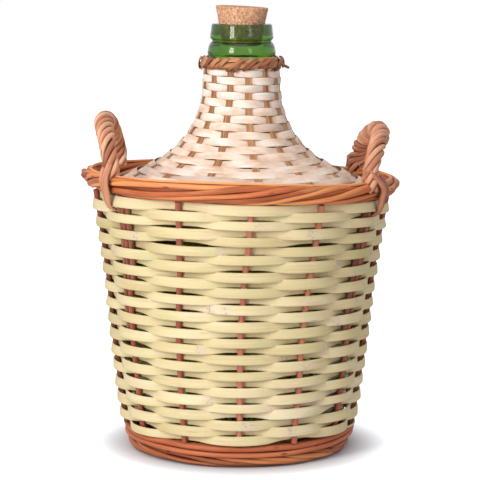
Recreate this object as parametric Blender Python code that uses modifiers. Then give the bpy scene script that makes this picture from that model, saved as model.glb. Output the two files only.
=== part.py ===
"""A wicker-covered carafe: a green glass demijohn with a cork, woven into a basket with a hood.

The glass bottle's outline leads. The basket wall, the hood, the borders and the handles take their
radii from it, each by the thickness of what lies between. Azimuths are measured from the front (-Y)
towards +X, which is anticlockwise seen from above, and the origin is the middle of the foot's underside.
"""

import math

import bmesh
import bpy
from mathutils import Matrix, Vector

# Clearances
GAP = 0.0003
END_GAP = 0.0012
OVERRUN = 0.010
MERGE_DISTANCE = 0.00001

# Bottle, from its underside up
GLASS_WALL = 0.0035
BODY_BOTTOM_RADIUS = 0.1138
BODY_TOP_RADIUS = 0.1435
BODY_SIDE_HEIGHT = 0.231
BODY_FLARE_RATIO = 0.18
HEEL_RADIUS = 0.025
PUNT_DEPTH = 0.014
PUNT_RADIUS = 0.070
SHOULDER_RADIUS = 0.045
SHOULDER_ANGLE = math.radians(25)
NECK_RADIUS = 0.0377
NECK_FLARE_RADIUS = 0.1013
NECK_LENGTH = 0.031
NECK_TOP_RADIUS = 0.0357
COLLAR_RADIUS = 0.0370
COLLAR_HEIGHT = 0.0145
GROOVE_RADIUS = 0.0314
GROOVE_HEIGHT = 0.003
LIP_RADIUS = 0.0345
LIP_TOP_RADIUS = 0.0330
LIP_HEIGHT = 0.0165
LIP_EDGE = 0.0015
FLARE_SEGMENTS = 4
SHOULDER_SEGMENTS = 2
SIDE_SEGMENTS = 3
HEEL_SEGMENTS = 2
BOTTLE_SEGMENTS = 16

# Cork
CORK_TOP_RADIUS = 0.0286
CORK_BOTTOM_RADIUS = 0.0205
CORK_LENGTH = 0.045
CORK_PROUD = 0.0195
CORK_BEVEL = 0.0012
CORK_SEGMENTS = 16

# Basket wall: stakes, and the canes woven round them
STAKE_COUNT = 13
WALL_FRONT_AZIMUTH = math.radians(4)
STAKE_RADIUS = 0.0030
STAKE_SEGMENTS = 4
CANE_COUNT = 8
WALL_RISE = 0.0331
CANE_WIDTH = 0.00865
CANE_THICKNESS = 0.0018
CANE_TIP_WIDTH = 0.0022
CANE_START_STAKE = 2
SIDE_ROOM = 0.0056

# Borders: long rods laid round as a rope
FOOT_ROD_RADIUS = 0.0038
FOOT_ROD_COUNT = 2
FOOT_HEIGHT = 0.0262
FOOT_WIDTH = 0.0174
FOOT_LEAN = 0.0070
FOOT_INSET = 0.0057
FOOT_FLAT = 0.0008
FOOT_TWIST_COUNT = 1.5
FOOT_POINT_COUNT = 18
RIM_ROD_RADIUS = 0.0026
RIM_ROD_COUNT = 3
RIM_HEIGHT = 0.0222
RIM_WIDTH = 0.0150
RIM_LEAN = 0.0060
RIM_OUTSET = 0.0010
RIM_TWIST_COUNT = 1.5
RIM_POINT_COUNT = 16
BORDER_LAP_COUNT = 2

# Woven base, inside the foot
BASE_THICKNESS = 0.0150
BASE_STICK_THICKNESS = 0.0060
BASE_STICK_WIDTH = 0.0110
BASE_STICK_COUNT = 3
BASE_EYE_RADIUS = 0.022
BASE_RING_COUNT = 3
BASE_RIDGE = 0.0012
BASE_SEGMENTS = 14

# Hood: flat stakes up the shoulder and neck, and the strips woven round them
HOOD_STAKE_COUNT = 13
HOOD_FRONT_AZIMUTH = math.radians(10)
HOOD_STAKE_THICKNESS = 0.0014
HOOD_STAKE_TOP_WIDTH = 0.0036
HOOD_STAKE_BOTTOM_WIDTH = 0.0075
HOOD_ROOM = 0.0010
HOOD_NECK_LENGTH = 0.0290
HOOD_RIM_ROOM = 0.0043
HOOD_STRIP_COUNT = 4
HOOD_START_STAKE = -1
HOOD_ROW_COUNT = 18.5
HOOD_STRIP_THICKNESS = 0.0010
HOOD_STRIP_FILL_SHARE = 0.92
HOOD_TOP_PITCH_SHARE = 0.80
NECK_ROD_RADIUS = 0.0017
NECK_ROD_LAP_COUNT = 2
NECK_ROD_POINT_COUNT = 10

# Handles: rods twisted as a rope, two of them brought down outside the rim and into the wall
HANDLE_FRONT_AZIMUTH = math.radians(55)
HANDLE_REAR_AZIMUTHS = (math.radians(126), math.radians(131))
HANDLE_RISES = (0.045, 0.033)
HANDLE_LEAN = 0.011
HANDLE_ROD_RADIUS = 0.0049
HANDLE_WRAP_RADIUS = 0.0034
HANDLE_ROD_COUNT = 3
HANDLE_TURN_COUNT = 3
HANDLE_POINT_COUNT = 6
HANDLE_SAMPLE_COUNT = 240
STRAND_FLAT_SHARE = 0.9
STRAND_SPLAY_SHARE = 1.2
WRAP_BEND = math.radians(50)
WRAP_TURN_SHARES = (0.1, 0.4, 0.75)
LEG_DEPTHS = (0.150, 0.100)
LEG_SEGMENTS = 2

GREEN_GLASS = ("green_glass", (0.12, 0.30, 0.06), 0.05)
CORK = ("cork", (0.70, 0.45, 0.25), 0.85)
PALE_CANE = ("pale_cane", (0.80, 0.72, 0.45), 0.55)
RED_WILLOW = ("red_willow", (0.55, 0.20, 0.08), 0.55)
TAN_WILLOW = ("tan_willow", (0.68, 0.40, 0.25), 0.65)
WOOD_CHIP = ("wood_chip", (0.88, 0.70, 0.54), 0.60)

# Heights and outlines that follow from the sizes above
TAU = 2 * math.pi
WALL_LOW = FOOT_HEIGHT + GAP
BODY_LOW = WALL_LOW + GAP
CANE_PITCH = CANE_WIDTH + GAP
CANE_ROWS = (BODY_LOW + BODY_SIDE_HEIGHT + WALL_RISE - WALL_LOW) / CANE_PITCH
CANE_STEPS = 2 * round(CANE_ROWS * STAKE_COUNT / (2 * CANE_COUNT))
CANE_START = WALL_LOW + CANE_TIP_WIDTH - CANE_WIDTH
WALL_TOP = CANE_START + CANE_COUNT * CANE_STEPS / STAKE_COUNT * CANE_PITCH + CANE_TIP_WIDTH
RIM_LOW = WALL_TOP + GAP
RIM_TOP = RIM_LOW + RIM_HEIGHT
SHOULDER_LOW = BODY_LOW + BODY_SIDE_HEIGHT
FLARE_CENTRE_RADIUS = NECK_RADIUS + NECK_FLARE_RADIUS
SHOULDER_CENTRE_RADIUS = BODY_TOP_RADIUS - SHOULDER_RADIUS
SLOPE_RUN = (
    SHOULDER_CENTRE_RADIUS
    + SHOULDER_RADIUS * math.sin(SHOULDER_ANGLE)
    - FLARE_CENTRE_RADIUS
    + NECK_FLARE_RADIUS * math.sin(SHOULDER_ANGLE)
)
FLARE_TOP = (
    SHOULDER_LOW
    + (SHOULDER_RADIUS + NECK_FLARE_RADIUS) * math.cos(SHOULDER_ANGLE)
    + SLOPE_RUN * math.tan(SHOULDER_ANGLE)
)
NECK_TOP = FLARE_TOP + NECK_LENGTH
LIP_LOW = NECK_TOP + COLLAR_HEIGHT + GROOVE_HEIGHT
LIP_TOP = LIP_LOW + LIP_HEIGHT
CORK_TOP = LIP_TOP + CORK_PROUD
STAKE_TURN = TAU / STAKE_COUNT
HOOD_TURN = TAU / HOOD_STAKE_COUNT


def spot(radius, azimuth, height):
    """The point at this radius and height, azimuth radians round from the front."""
    return Vector((radius * math.sin(azimuth), -radius * math.cos(azimuth), height))


def outward(azimuth):
    return spot(1, azimuth, 0)


def new_collection(name):
    made = bpy.data.collections.new(name)
    bpy.context.scene.collection.children.link(made)
    return made


def new_material(name, colour, roughness):
    made = bpy.data.materials.get(name)
    if made:
        return made
    made = bpy.data.materials.new(name)
    made.use_nodes = True
    shader = made.node_tree.nodes["Principled BSDF"]
    shader.inputs["Base Color"].default_value = (*colour, 1)
    shader.inputs["Roughness"].default_value = roughness
    shader.inputs["Metallic"].default_value = 0
    if name == GREEN_GLASS[0]:
        shader.inputs["Transmission Weight"].default_value = 0.9
    return made


def add_part(name, data, finish, smooth=True):
    """An object of the carafe, in its collection, with its finish."""
    made = bpy.data.objects.new(name, data)
    carafe.objects.link(made)
    data.materials.append(new_material(*finish))
    if smooth and isinstance(data, bpy.types.Mesh):
        data.shade_smooth()
        data.set_sharp_from_angle(angle=math.radians(40))
    return made


def rod(name, points, radius, finish, radii=None):
    """A willow rod: a tube through the points, thinner where radii says so."""
    curve = bpy.data.curves.new(name, "CURVE")
    curve.dimensions = "3D"
    curve.bevel_depth = radius
    curve.bevel_resolution = 1
    curve.use_fill_caps = True
    spline = curve.splines.new("POLY")
    spline.points.add(len(points) - 1)
    for number, point in enumerate(points):
        spline.points[number].co = (*point, 1)
        spline.points[number].radius = radii[number] / radius if radii else 1
    return add_part(name, curve, finish)


def ribbon(name, first_edge, second_edge, thickness, finish):
    """A flat strip: one edge as a wire, drawn out to the other edge and thickened evenly."""
    shape = bmesh.new()
    wire = [shape.verts.new(point) for point in first_edge]
    edges = [shape.edges.new(pair) for pair in zip(wire, wire[1:])]
    drawn = bmesh.ops.extrude_edge_only(shape, edges=edges)["geom"]
    new_verts = {item for item in drawn if isinstance(item, bmesh.types.BMVert)}
    for vert, point in zip(wire, second_edge):
        around = (edge.other_vert(vert) for edge in vert.link_edges)
        next(other for other in around if other in new_verts).co = point
    mesh = bpy.data.meshes.new(name)
    shape.to_mesh(mesh)
    shape.free()
    made = add_part(name, mesh, finish, smooth=False)
    solid = made.modifiers.new("Thickness", "SOLIDIFY")
    solid.thickness = thickness
    solid.offset = 0
    solid.use_even_offset = True
    return made


def turned(name, profile, segments, finish):
    """A turned piece: its profile runs down the outer side, with radius along X."""
    mesh = bpy.data.meshes.new(name)
    shape = bmesh.new()
    verts = [shape.verts.new((radius, 0, height)) for radius, height in profile]
    for pair in zip(verts, verts[1:]):
        shape.edges.new(pair)
    shape.to_mesh(mesh)
    shape.free()
    made = add_part(name, mesh, finish)
    screw = made.modifiers.new("Turn", "SCREW")
    screw.steps = segments
    screw.render_steps = segments
    screw.use_merge_vertices = True
    screw.merge_threshold = MERGE_DISTANCE
    screw.use_smooth_shade = True
    return made


def cut(piece, cutter, name):
    """Cuts the cutter out of the piece."""
    taken = piece.modifiers.new(name, "BOOLEAN")
    taken.operation = "DIFFERENCE"
    taken.solver = "EXACT"
    taken.object = cutter


def new_cutter(name, size, centre):
    """A box that cuts, kept out of the render."""
    shape = bmesh.new()
    bmesh.ops.create_cube(
        shape, size=1, matrix=Matrix.Translation(centre) @ Matrix.Diagonal((*size, 1))
    )
    mesh = bpy.data.meshes.new(name)
    shape.to_mesh(mesh)
    shape.free()
    made = bpy.data.objects.new(name, mesh)
    cutters.objects.link(made)
    made.hide_render = True
    made.display_type = "WIRE"
    return made


def meshed(piece):
    """The piece's tube as a mesh with its caps welded, ready to be cut."""
    graph = bpy.context.evaluated_depsgraph_get()
    mesh = bpy.data.meshes.new_from_object(piece.evaluated_get(graph))
    shape = bmesh.new()
    shape.from_mesh(mesh)
    bmesh.ops.remove_doubles(shape, verts=shape.verts, dist=MERGE_DISTANCE)
    shape.to_mesh(mesh)
    shape.free()
    name = piece.name
    curve = piece.data
    bpy.data.objects.remove(piece)
    bpy.data.curves.remove(curve)
    made = bpy.data.objects.new(name, mesh)
    carafe.objects.link(made)
    return made


def arc(centre, radius, first, last, count):
    """Points on an arc in the profile plane, from one angle to another, both ends included."""
    angles = (first + (last - first) * step / count for step in range(count + 1))
    return [
        (centre[0] + radius * math.cos(angle), centre[1] + radius * math.sin(angle))
        for angle in angles
    ]


def side_radius(height):
    """The bottle's outer radius on its side: a cubic with equal end slopes, straight beyond them."""
    share = (height - BODY_LOW) / BODY_SIDE_HEIGHT
    inside = min(max(share, 0), 1)
    swell = (BODY_TOP_RADIUS - BODY_BOTTOM_RADIUS) * (3 - 2 * inside) * inside**2
    flare = BODY_FLARE_RATIO * BODY_SIDE_HEIGHT
    ends = flare * inside * (1 - inside) * (1 - 2 * inside)
    return BODY_BOTTOM_RADIUS + swell + ends + flare * (share - inside)


def swing(reach, side, lift, step, half_turn, change):
    """How far a strip's middle passes from a stake's, so that the slanting strip clears it.

    reach is what the strip's middle keeps from a round stake's middle, side how far aside the
    outermost stake or corner lies, and lift half the thickness of a flat stake.
    """
    out = lift + reach
    for _ in range(6):
        lean = half_turn + math.atan(change * out / step)
        out = lift + reach / math.cos(lean) + side * math.tan(lean)
    return out


def handle_stakes():
    """The stakes that the handles' legs run beside, by number from the front stake."""
    azimuths = [
        side * azimuth
        for side in (-1, 1)
        for azimuth in (HANDLE_FRONT_AZIMUTH, HANDLE_REAR_AZIMUTHS[side > 0])
    ]
    return [round((azimuth - WALL_FRONT_AZIMUTH) / STAKE_TURN) for azimuth in azimuths]


def wall_swing(height, number):
    """How far a cane passes in front of or behind the stake of this number."""
    beside = (number - min(handle_stakes())) % STAKE_COUNT in {
        (held - min(handle_stakes())) % STAKE_COUNT for held in handle_stakes()
    }
    return swing(
        STAKE_RADIUS + GAP + CANE_THICKNESS / 2,
        2 * STAKE_RADIUS + GAP if beside else 0,
        0,
        side_radius(height) * STAKE_TURN / 2,
        STAKE_TURN / 4,
        1,
    )


def wall_ring(height):
    """The radius of the stakes' middles, straight between the points that a stake is drawn through."""
    stretch = (WALL_TOP - WALL_LOW) / STAKE_SEGMENTS
    place = min(max((height - WALL_LOW) / stretch, 0), STAKE_SEGMENTS)
    low = WALL_LOW + min(int(place), STAKE_SEGMENTS - 1) * stretch
    share = (height - low) / stretch
    return (1 - share) * full_ring(low) + share * full_ring(low + stretch)


def full_ring(height):
    return (
        side_radius(height) + SIDE_ROOM + STAKE_RADIUS + GAP + CANE_THICKNESS
    )


def stake_azimuth(number):
    return WALL_FRONT_AZIMUTH + number * STAKE_TURN


def add_wall_stakes():
    for number in range(STAKE_COUNT):
        heights = [
            WALL_LOW + (WALL_TOP - WALL_LOW) * step / STAKE_SEGMENTS
            for step in range(STAKE_SEGMENTS + 1)
        ]
        points = [
            spot(wall_ring(height), stake_azimuth(number), height) for height in heights
        ]
        rod(f"wall_stake_{number + 1:02d}", points, STAKE_RADIUS, RED_WILLOW)


def cane_edges(place):
    """The lower and upper edge points of the canes' spiral, place stakes on from its start."""
    number = CANE_START_STAKE + place
    low = CANE_START + place / STAKE_COUNT * CANE_PITCH
    edges = []
    for height in (low, low + CANE_WIDTH):
        height = min(max(height, WALL_LOW), WALL_TOP)
        radius = wall_ring(height)
        if place == round(place):
            side = 1 if round(place) % 2 else -1
            radius += side * wall_swing(height, round(number))
        edges.append(spot(radius, stake_azimuth(number), height))
    return edges


def add_wall_canes():
    """The wall's weave: one spiral, in front of every other stake, of canes end to end."""
    for cane in range(CANE_COUNT):
        first = cane * CANE_STEPS
        edges = [cane_edges(first + half / 2) for half in range(2 * CANE_STEPS + 1)]
        lower = [edge[0] for edge in edges]
        upper = [edge[1] for edge in edges]
        for edge in (lower, upper):
            edge[0] += (edge[1] - edge[0]).normalized() * END_GAP / 2
            edge[-1] += (edge[-2] - edge[-1]).normalized() * END_GAP / 2
        ribbon(f"wall_cane_{cane + 1}", lower, upper, CANE_THICKNESS, PALE_CANE)


def stadium(share, half_width, half_height):
    """A point this share of the way round an upright oval with straight sides, from its top."""
    straight = 2 * (half_height - half_width)
    bend = math.pi * half_width
    way = (share * 2 * (straight + bend) + straight + bend / 2) % (2 * (straight + bend))
    turned_over = way >= straight + bend
    way -= (straight + bend) * turned_over
    if way < straight:
        point = Vector((half_width, way - straight / 2))
    else:
        angle = (way - straight) / half_width
        point = Vector(
            (half_width * math.cos(angle), straight / 2 + half_width * math.sin(angle))
        )
    return -point if turned_over else point


def border_points(share, laps, points_a_lap, twists, ring, low, size, lean, radius):
    """The middle line of a rod that runs round a border as one strand of its rope."""
    half_width = size[0] / 2 - radius
    half_height = size[1] / 2 - radius
    points = []
    for step in range(laps * points_a_lap + 1):
        lap = step / points_a_lap
        aside, up = stadium(share + lap * twists, half_width, half_height)
        leaning = lean * (up / half_height) / 2
        points.append(
            spot(ring + aside + leaning, TAU * lap, low + size[1] / 2 + up)
        )
    points[-1] += (points[-2] - points[-1]).normalized() * END_GAP
    return points


def add_borders():
    foot_ring = full_ring(WALL_LOW) - FOOT_INSET - FOOT_LEAN / 2
    ground = new_cutter(
        "ground_cutter",
        (2 * (foot_ring + FOOT_WIDTH), 2 * (foot_ring + FOOT_WIDTH), OVERRUN),
        Vector((0, 0, -OVERRUN / 2)),
    )
    for number in range(FOOT_ROD_COUNT):
        points = border_points(
            number / (2 * FOOT_ROD_COUNT),
            BORDER_LAP_COUNT,
            FOOT_POINT_COUNT,
            FOOT_TWIST_COUNT,
            foot_ring,
            -FOOT_FLAT,
            (FOOT_WIDTH, FOOT_HEIGHT + FOOT_FLAT),
            FOOT_LEAN,
            FOOT_ROD_RADIUS,
        )
        made = meshed(
            rod(f"foot_rod_{number + 1}", points, FOOT_ROD_RADIUS, RED_WILLOW)
        )
        cut(made, ground, "Flat underside")
    rim_ring = wall_ring(WALL_TOP) + RIM_OUTSET + RIM_LEAN / 2
    for number in range(RIM_ROD_COUNT):
        points = border_points(
            number / (2 * RIM_ROD_COUNT),
            BORDER_LAP_COUNT,
            RIM_POINT_COUNT,
            RIM_TWIST_COUNT,
            rim_ring,
            RIM_LOW,
            (RIM_WIDTH, RIM_HEIGHT),
            RIM_LEAN,
            RIM_ROD_RADIUS,
        )
        rod(f"rim_rod_{number + 1}", points, RIM_ROD_RADIUS, RED_WILLOW)


def base_radius():
    """The base's radius where the foot's rope closes in on it."""
    foot_ring = full_ring(WALL_LOW) - FOOT_INSET - FOOT_LEAN / 2
    return (foot_ring - FOOT_WIDTH / 2) * math.cos(math.pi / FOOT_POINT_COUNT) - GAP


def add_base():
    """Two crossed layers of sticks, and the round weave that they hold."""
    radius = base_radius()
    top = BODY_LOW - GAP
    low = top - BASE_THICKNESS
    step = (radius - BASE_EYE_RADIUS) / BASE_RING_COUNT
    upper = [(BASE_EYE_RADIUS, top - BASE_RIDGE)]
    lower = [(BASE_EYE_RADIUS, low + BASE_RIDGE)]
    for ring in range(BASE_RING_COUNT):
        outer = BASE_EYE_RADIUS + (ring + 1) * step
        upper += [(outer - step / 2, top), (outer, top - BASE_RIDGE)]
        lower += [(outer - step / 2, low), (outer, low + BASE_RIDGE)]
    outline = upper + lower[::-1] + upper[:1]
    weave = turned("base_weave", outline, BASE_SEGMENTS, TAN_WILLOW)
    length = 2 * (radius - step)
    width = BASE_STICK_COUNT * BASE_STICK_WIDTH
    layers = (("lower", (length, width), low), ("upper", (width, length), None))
    for layer, plan, start in layers:
        centre = (top + low) / 2
        half = BASE_STICK_THICKNESS / 2 + GAP
        middle = centre - half if start else centre + half
        slot = new_cutter(
            f"{layer}_slot_cutter",
            (plan[0] + 2 * GAP, plan[1] + 2 * GAP, BASE_STICK_THICKNESS + 2 * GAP),
            Vector((0, 0, middle)),
        )
        cut(weave, slot, f"Slot for the {layer} sticks")
        add_sticks(f"base_sticks_{layer}", plan, middle)


def add_sticks(name, plan, middle):
    """A layer of base sticks, laid side by side."""
    shape = bmesh.new()
    bmesh.ops.create_cube(
        shape,
        size=1,
        matrix=Matrix.Translation((0, 0, middle))
        @ Matrix.Diagonal((*plan, BASE_STICK_THICKNESS, 1)),
    )
    mesh = bpy.data.meshes.new(name)
    shape.to_mesh(mesh)
    shape.free()
    add_part(name, mesh, TAN_WILLOW, smooth=False)


def collar_profile():
    """The bottle's outer side from the lip's top edge down to the neck."""
    return [
        (LIP_TOP_RADIUS - LIP_EDGE, LIP_TOP),
        (LIP_TOP_RADIUS, LIP_TOP - LIP_EDGE),
        (LIP_RADIUS, LIP_LOW + LIP_EDGE),
        (LIP_RADIUS - LIP_EDGE, LIP_LOW),
        (GROOVE_RADIUS, LIP_LOW),
        (GROOVE_RADIUS, LIP_LOW - GROOVE_HEIGHT),
        (COLLAR_RADIUS, LIP_LOW - GROOVE_HEIGHT - COLLAR_HEIGHT / 3),
        (NECK_TOP_RADIUS, NECK_TOP),
    ]


def body_profile(inward):
    """The bottle from the neck's foot to its underside, this far inside its outer side."""
    straight_down = math.pi
    slope = math.pi + math.pi / 2 - SHOULDER_ANGLE
    profile = arc(
        (FLARE_CENTRE_RADIUS, FLARE_TOP),
        NECK_FLARE_RADIUS + inward,
        straight_down,
        slope,
        FLARE_SEGMENTS,
    )
    profile += arc(
        (SHOULDER_CENTRE_RADIUS, SHOULDER_LOW),
        SHOULDER_RADIUS - inward,
        math.pi / 2 - SHOULDER_ANGLE,
        0,
        SHOULDER_SEGMENTS,
    )
    heel_top = BODY_LOW + HEEL_RADIUS
    for step in range(1, SIDE_SEGMENTS):
        height = SHOULDER_LOW + (heel_top - SHOULDER_LOW) * step / SIDE_SEGMENTS
        profile.append((side_radius(height) - inward, height))
    profile += arc(
        (side_radius(heel_top) - HEEL_RADIUS, heel_top),
        HEEL_RADIUS - inward,
        0,
        -math.pi / 2,
        HEEL_SEGMENTS,
    )
    return profile + [
        (PUNT_RADIUS, BODY_LOW + inward),
        (0, BODY_LOW + inward + PUNT_DEPTH),
    ]


def cork_radius(height):
    share = (CORK_TOP - height) / CORK_LENGTH
    return CORK_TOP_RADIUS + (CORK_BOTTOM_RADIUS - CORK_TOP_RADIUS) * share


def add_bottle():
    bore = cork_radius(LIP_TOP) + GAP
    inner = [
        (bore + LIP_EDGE / 2, LIP_TOP),
        (bore, LIP_TOP - LIP_EDGE / 2),
        (bore, NECK_TOP + COLLAR_HEIGHT / 3),
    ]
    inner += body_profile(GLASS_WALL)
    outer = collar_profile() + body_profile(0)
    turned("glass_bottle", inner[::-1] + outer, BOTTLE_SEGMENTS, GREEN_GLASS)


def add_cork():
    """The cork, with its origin on its own axis where it enters the mouth."""
    low = CORK_TOP - CORK_LENGTH
    profile = [
        (0, CORK_TOP - LIP_TOP),
        (CORK_TOP_RADIUS - CORK_BEVEL, CORK_TOP - LIP_TOP),
        (cork_radius(CORK_TOP - CORK_BEVEL), CORK_TOP - CORK_BEVEL - LIP_TOP),
        (cork_radius(low + CORK_BEVEL), low + CORK_BEVEL - LIP_TOP),
        (CORK_BOTTOM_RADIUS - CORK_BEVEL, low - LIP_TOP),
        (0, low - LIP_TOP),
    ]
    made = turned("cork_stopper", profile, CORK_SEGMENTS, CORK)
    made.location = (0, 0, LIP_TOP)


def hood_stand():
    """How far the hood stakes' middles stand off the glass."""
    return HOOD_ROOM + HOOD_STRIP_THICKNESS / 2 + neck_swing()


def neck_swing():
    radius = NECK_TOP_RADIUS
    return swing(
        HOOD_STRIP_THICKNESS / 2 + GAP,
        HOOD_STAKE_TOP_WIDTH / 2,
        HOOD_STAKE_THICKNESS / 2,
        radius * HOOD_TURN,
        HOOD_TURN / 2,
        2,
    )


def hood_profile():
    """The line of the hood stakes' middles, from their top ends down to the skirt's edge."""
    stand = hood_stand()
    flare = arc(
        (FLARE_CENTRE_RADIUS, FLARE_TOP),
        NECK_FLARE_RADIUS - stand,
        math.pi,
        math.pi * 3 / 2 - SHOULDER_ANGLE,
        FLARE_SEGMENTS,
    )
    top = (
        NECK_RADIUS
        + stand
        + (NECK_TOP_RADIUS - NECK_RADIUS) * HOOD_NECK_LENGTH / NECK_LENGTH,
        FLARE_TOP + HOOD_NECK_LENGTH,
    )
    edge = wall_ring(WALL_TOP) + RIM_OUTSET - RIM_WIDTH / 2 - HOOD_RIM_ROOM
    end = (edge, flare[-1][1] - (edge - flare[-1][0]) * math.tan(SHOULDER_ANGLE))
    return [Vector(point) for point in (top, *flare, end)]


def hood_spot(profile, way, out):
    """The hood's radius and height this way down its line and this far out of it."""
    for first, second in zip(profile, profile[1:]):
        along = second - first
        if way <= along.length or second is profile[-1]:
            break
        way -= along.length
    along.normalize()
    return first + along * way + Vector((-along.y, along.x)) * out


def hood_stake_width(share):
    return HOOD_STAKE_TOP_WIDTH + (HOOD_STAKE_BOTTOM_WIDTH - HOOD_STAKE_TOP_WIDTH) * share


def hood_azimuth(number):
    return HOOD_FRONT_AZIMUTH + number * HOOD_TURN


def add_hood_stakes(profile):
    lengths = [(b - a).length for a, b in zip(profile, profile[1:])]
    total = sum(lengths)
    for number in range(HOOD_STAKE_COUNT):
        edges = ([], [])
        for place, (radius, height) in enumerate(profile):
            half = hood_stake_width(sum(lengths[:place]) / total) / 2
            middle = spot(radius, hood_azimuth(number), height)
            across = outward(hood_azimuth(number) + math.pi / 2) * half
            edges[0].append(middle + across)
            edges[1].append(middle - across)
        ribbon(
            f"hood_stake_{number + 1:02d}", *edges, HOOD_STAKE_THICKNESS, TAN_WILLOW
        )


def hood_swing(radius, share):
    return swing(
        HOOD_STRIP_THICKNESS / 2 + GAP,
        hood_stake_width(share) / 2,
        HOOD_STAKE_THICKNESS / 2,
        radius * HOOD_TURN,
        HOOD_TURN / 2,
        2,
    )


def add_hood_strips(profile):
    """The hood's weave: one spiral down from the neck, its rows growing wider as it goes."""
    total = sum((b - a).length for a, b in zip(profile, profile[1:]))
    start = (NECK_ROD_LAP_COUNT + 1) * (2 * NECK_ROD_RADIUS + GAP) + GAP
    steps = 2 * round(HOOD_ROW_COUNT * HOOD_STAKE_COUNT / (2 * HOOD_STRIP_COUNT))
    laps = HOOD_STRIP_COUNT * steps / HOOD_STAKE_COUNT
    mean_pitch = (total - start) / (laps + 1)
    growth = 2 * (1 - HOOD_TOP_PITCH_SHARE) / laps

    def way_down(lap):
        return start + mean_pitch * lap * (HOOD_TOP_PITCH_SHARE + growth * lap / 2)

    def pitch_at(lap):
        return mean_pitch * (HOOD_TOP_PITCH_SHARE + growth * lap)

    for strip in range(HOOD_STRIP_COUNT):
        edges = ([], [])
        for step in range(strip * steps, (strip + 1) * steps + 1):
            lap = step / HOOD_STAKE_COUNT
            side = 1 if step % 2 else -1
            ways = (way_down(lap), way_down(lap) + HOOD_STRIP_FILL_SHARE * pitch_at(lap))
            for edge, way in zip(edges, ways):
                radius = hood_spot(profile, way, 0)[0]
                out = side * hood_swing(radius, way / total)
                radius, height = hood_spot(profile, way, out)
                edge.append(spot(radius, hood_azimuth(HOOD_START_STAKE + step), height))
        for edge in edges:
            edge[0] += (edge[1] - edge[0]).normalized() * END_GAP / 2
            edge[-1] += (edge[-2] - edge[-1]).normalized() * END_GAP / 2
        ribbon(f"hood_strip_{strip + 1}", *edges, HOOD_STRIP_THICKNESS, WOOD_CHIP)


def add_neck_rod(profile):
    """The rod that binds the hood stakes' top ends."""
    points = []
    out = HOOD_STAKE_THICKNESS / 2 + GAP + NECK_ROD_RADIUS
    corner = math.cos(math.pi / NECK_ROD_POINT_COUNT)
    for step in range(NECK_ROD_LAP_COUNT * NECK_ROD_POINT_COUNT + 1):
        lap = step / NECK_ROD_POINT_COUNT
        way = NECK_ROD_RADIUS + lap * (2 * NECK_ROD_RADIUS + GAP)
        radius, height = hood_spot(profile, way, 0)
        points.append(spot((radius + out) / corner, TAU * lap, height))
    rod("neck_rod", points, NECK_ROD_RADIUS, RED_WILLOW)


def handle_line(side):
    """The middle line of a handle's rope: a half oval that leans out, finely sampled."""
    foot_radius = wall_ring(WALL_TOP) + RIM_OUTSET + RIM_LEAN
    low = RIM_TOP + GAP + HANDLE_ROD_RADIUS
    front = spot(foot_radius, side * HANDLE_FRONT_AZIMUTH, low)
    rear_azimuth = HANDLE_REAR_AZIMUTHS[side > 0]
    rear = spot(foot_radius, side * rear_azimuth, low)
    out = outward(side * (HANDLE_FRONT_AZIMUTH + rear_azimuth) / 2)
    rise = Vector((0, 0, HANDLE_RISES[side > 0])) + out * HANDLE_LEAN
    points = []
    for step in range(HANDLE_SAMPLE_COUNT + 1):
        angle = math.pi * step / HANDLE_SAMPLE_COUNT
        share = (1 - math.cos(angle)) / 2
        points.append(front.lerp(rear, share) + rise * math.sin(angle))
    normal = rise.cross(rear - front).normalized()
    if normal.dot(out) < 0:
        normal = -normal
    return points, normal


def rope_lay(length):
    """How far the strands' middles lie from the rope's, so that the slanting strands only just clear."""
    corner = math.cos(math.pi / HANDLE_POINT_COUNT)
    near = HANDLE_ROD_RADIUS * STRAND_FLAT_SHARE + GAP
    touching = near / math.sin(math.pi / HANDLE_ROD_COUNT) / corner
    slant = math.atan(TAU * touching * HANDLE_TURN_COUNT / length)
    return touching / math.cos(slant)


def rope_strand(line, normal, number):
    """The middle line of one strand of a rope laid along the line."""
    lengths = [0]
    for first, second in zip(line, line[1:]):
        lengths.append(lengths[-1] + (second - first).length)
    lay = rope_lay(lengths[-1])
    steps = HANDLE_TURN_COUNT * HANDLE_POINT_COUNT
    points = []
    place = 0
    for step in range(steps + 1):
        way = lengths[-1] * step / steps
        while place < len(lengths) - 2 and lengths[place + 1] < way:
            place += 1
        share = (way - lengths[place]) / (lengths[place + 1] - lengths[place])
        middle = line[place].lerp(line[place + 1], share)
        along = (line[place + 1] - line[place]).normalized()
        across = along.cross(normal)
        phase = TAU * (HANDLE_TURN_COUNT * step / steps + (number + 0.5) / HANDLE_ROD_COUNT)
        off = lay if 0 < step < steps else lay * STRAND_SPLAY_SHARE
        points.append(middle + (normal * math.cos(phase) + across * math.sin(phase)) * off)
    return points


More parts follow.
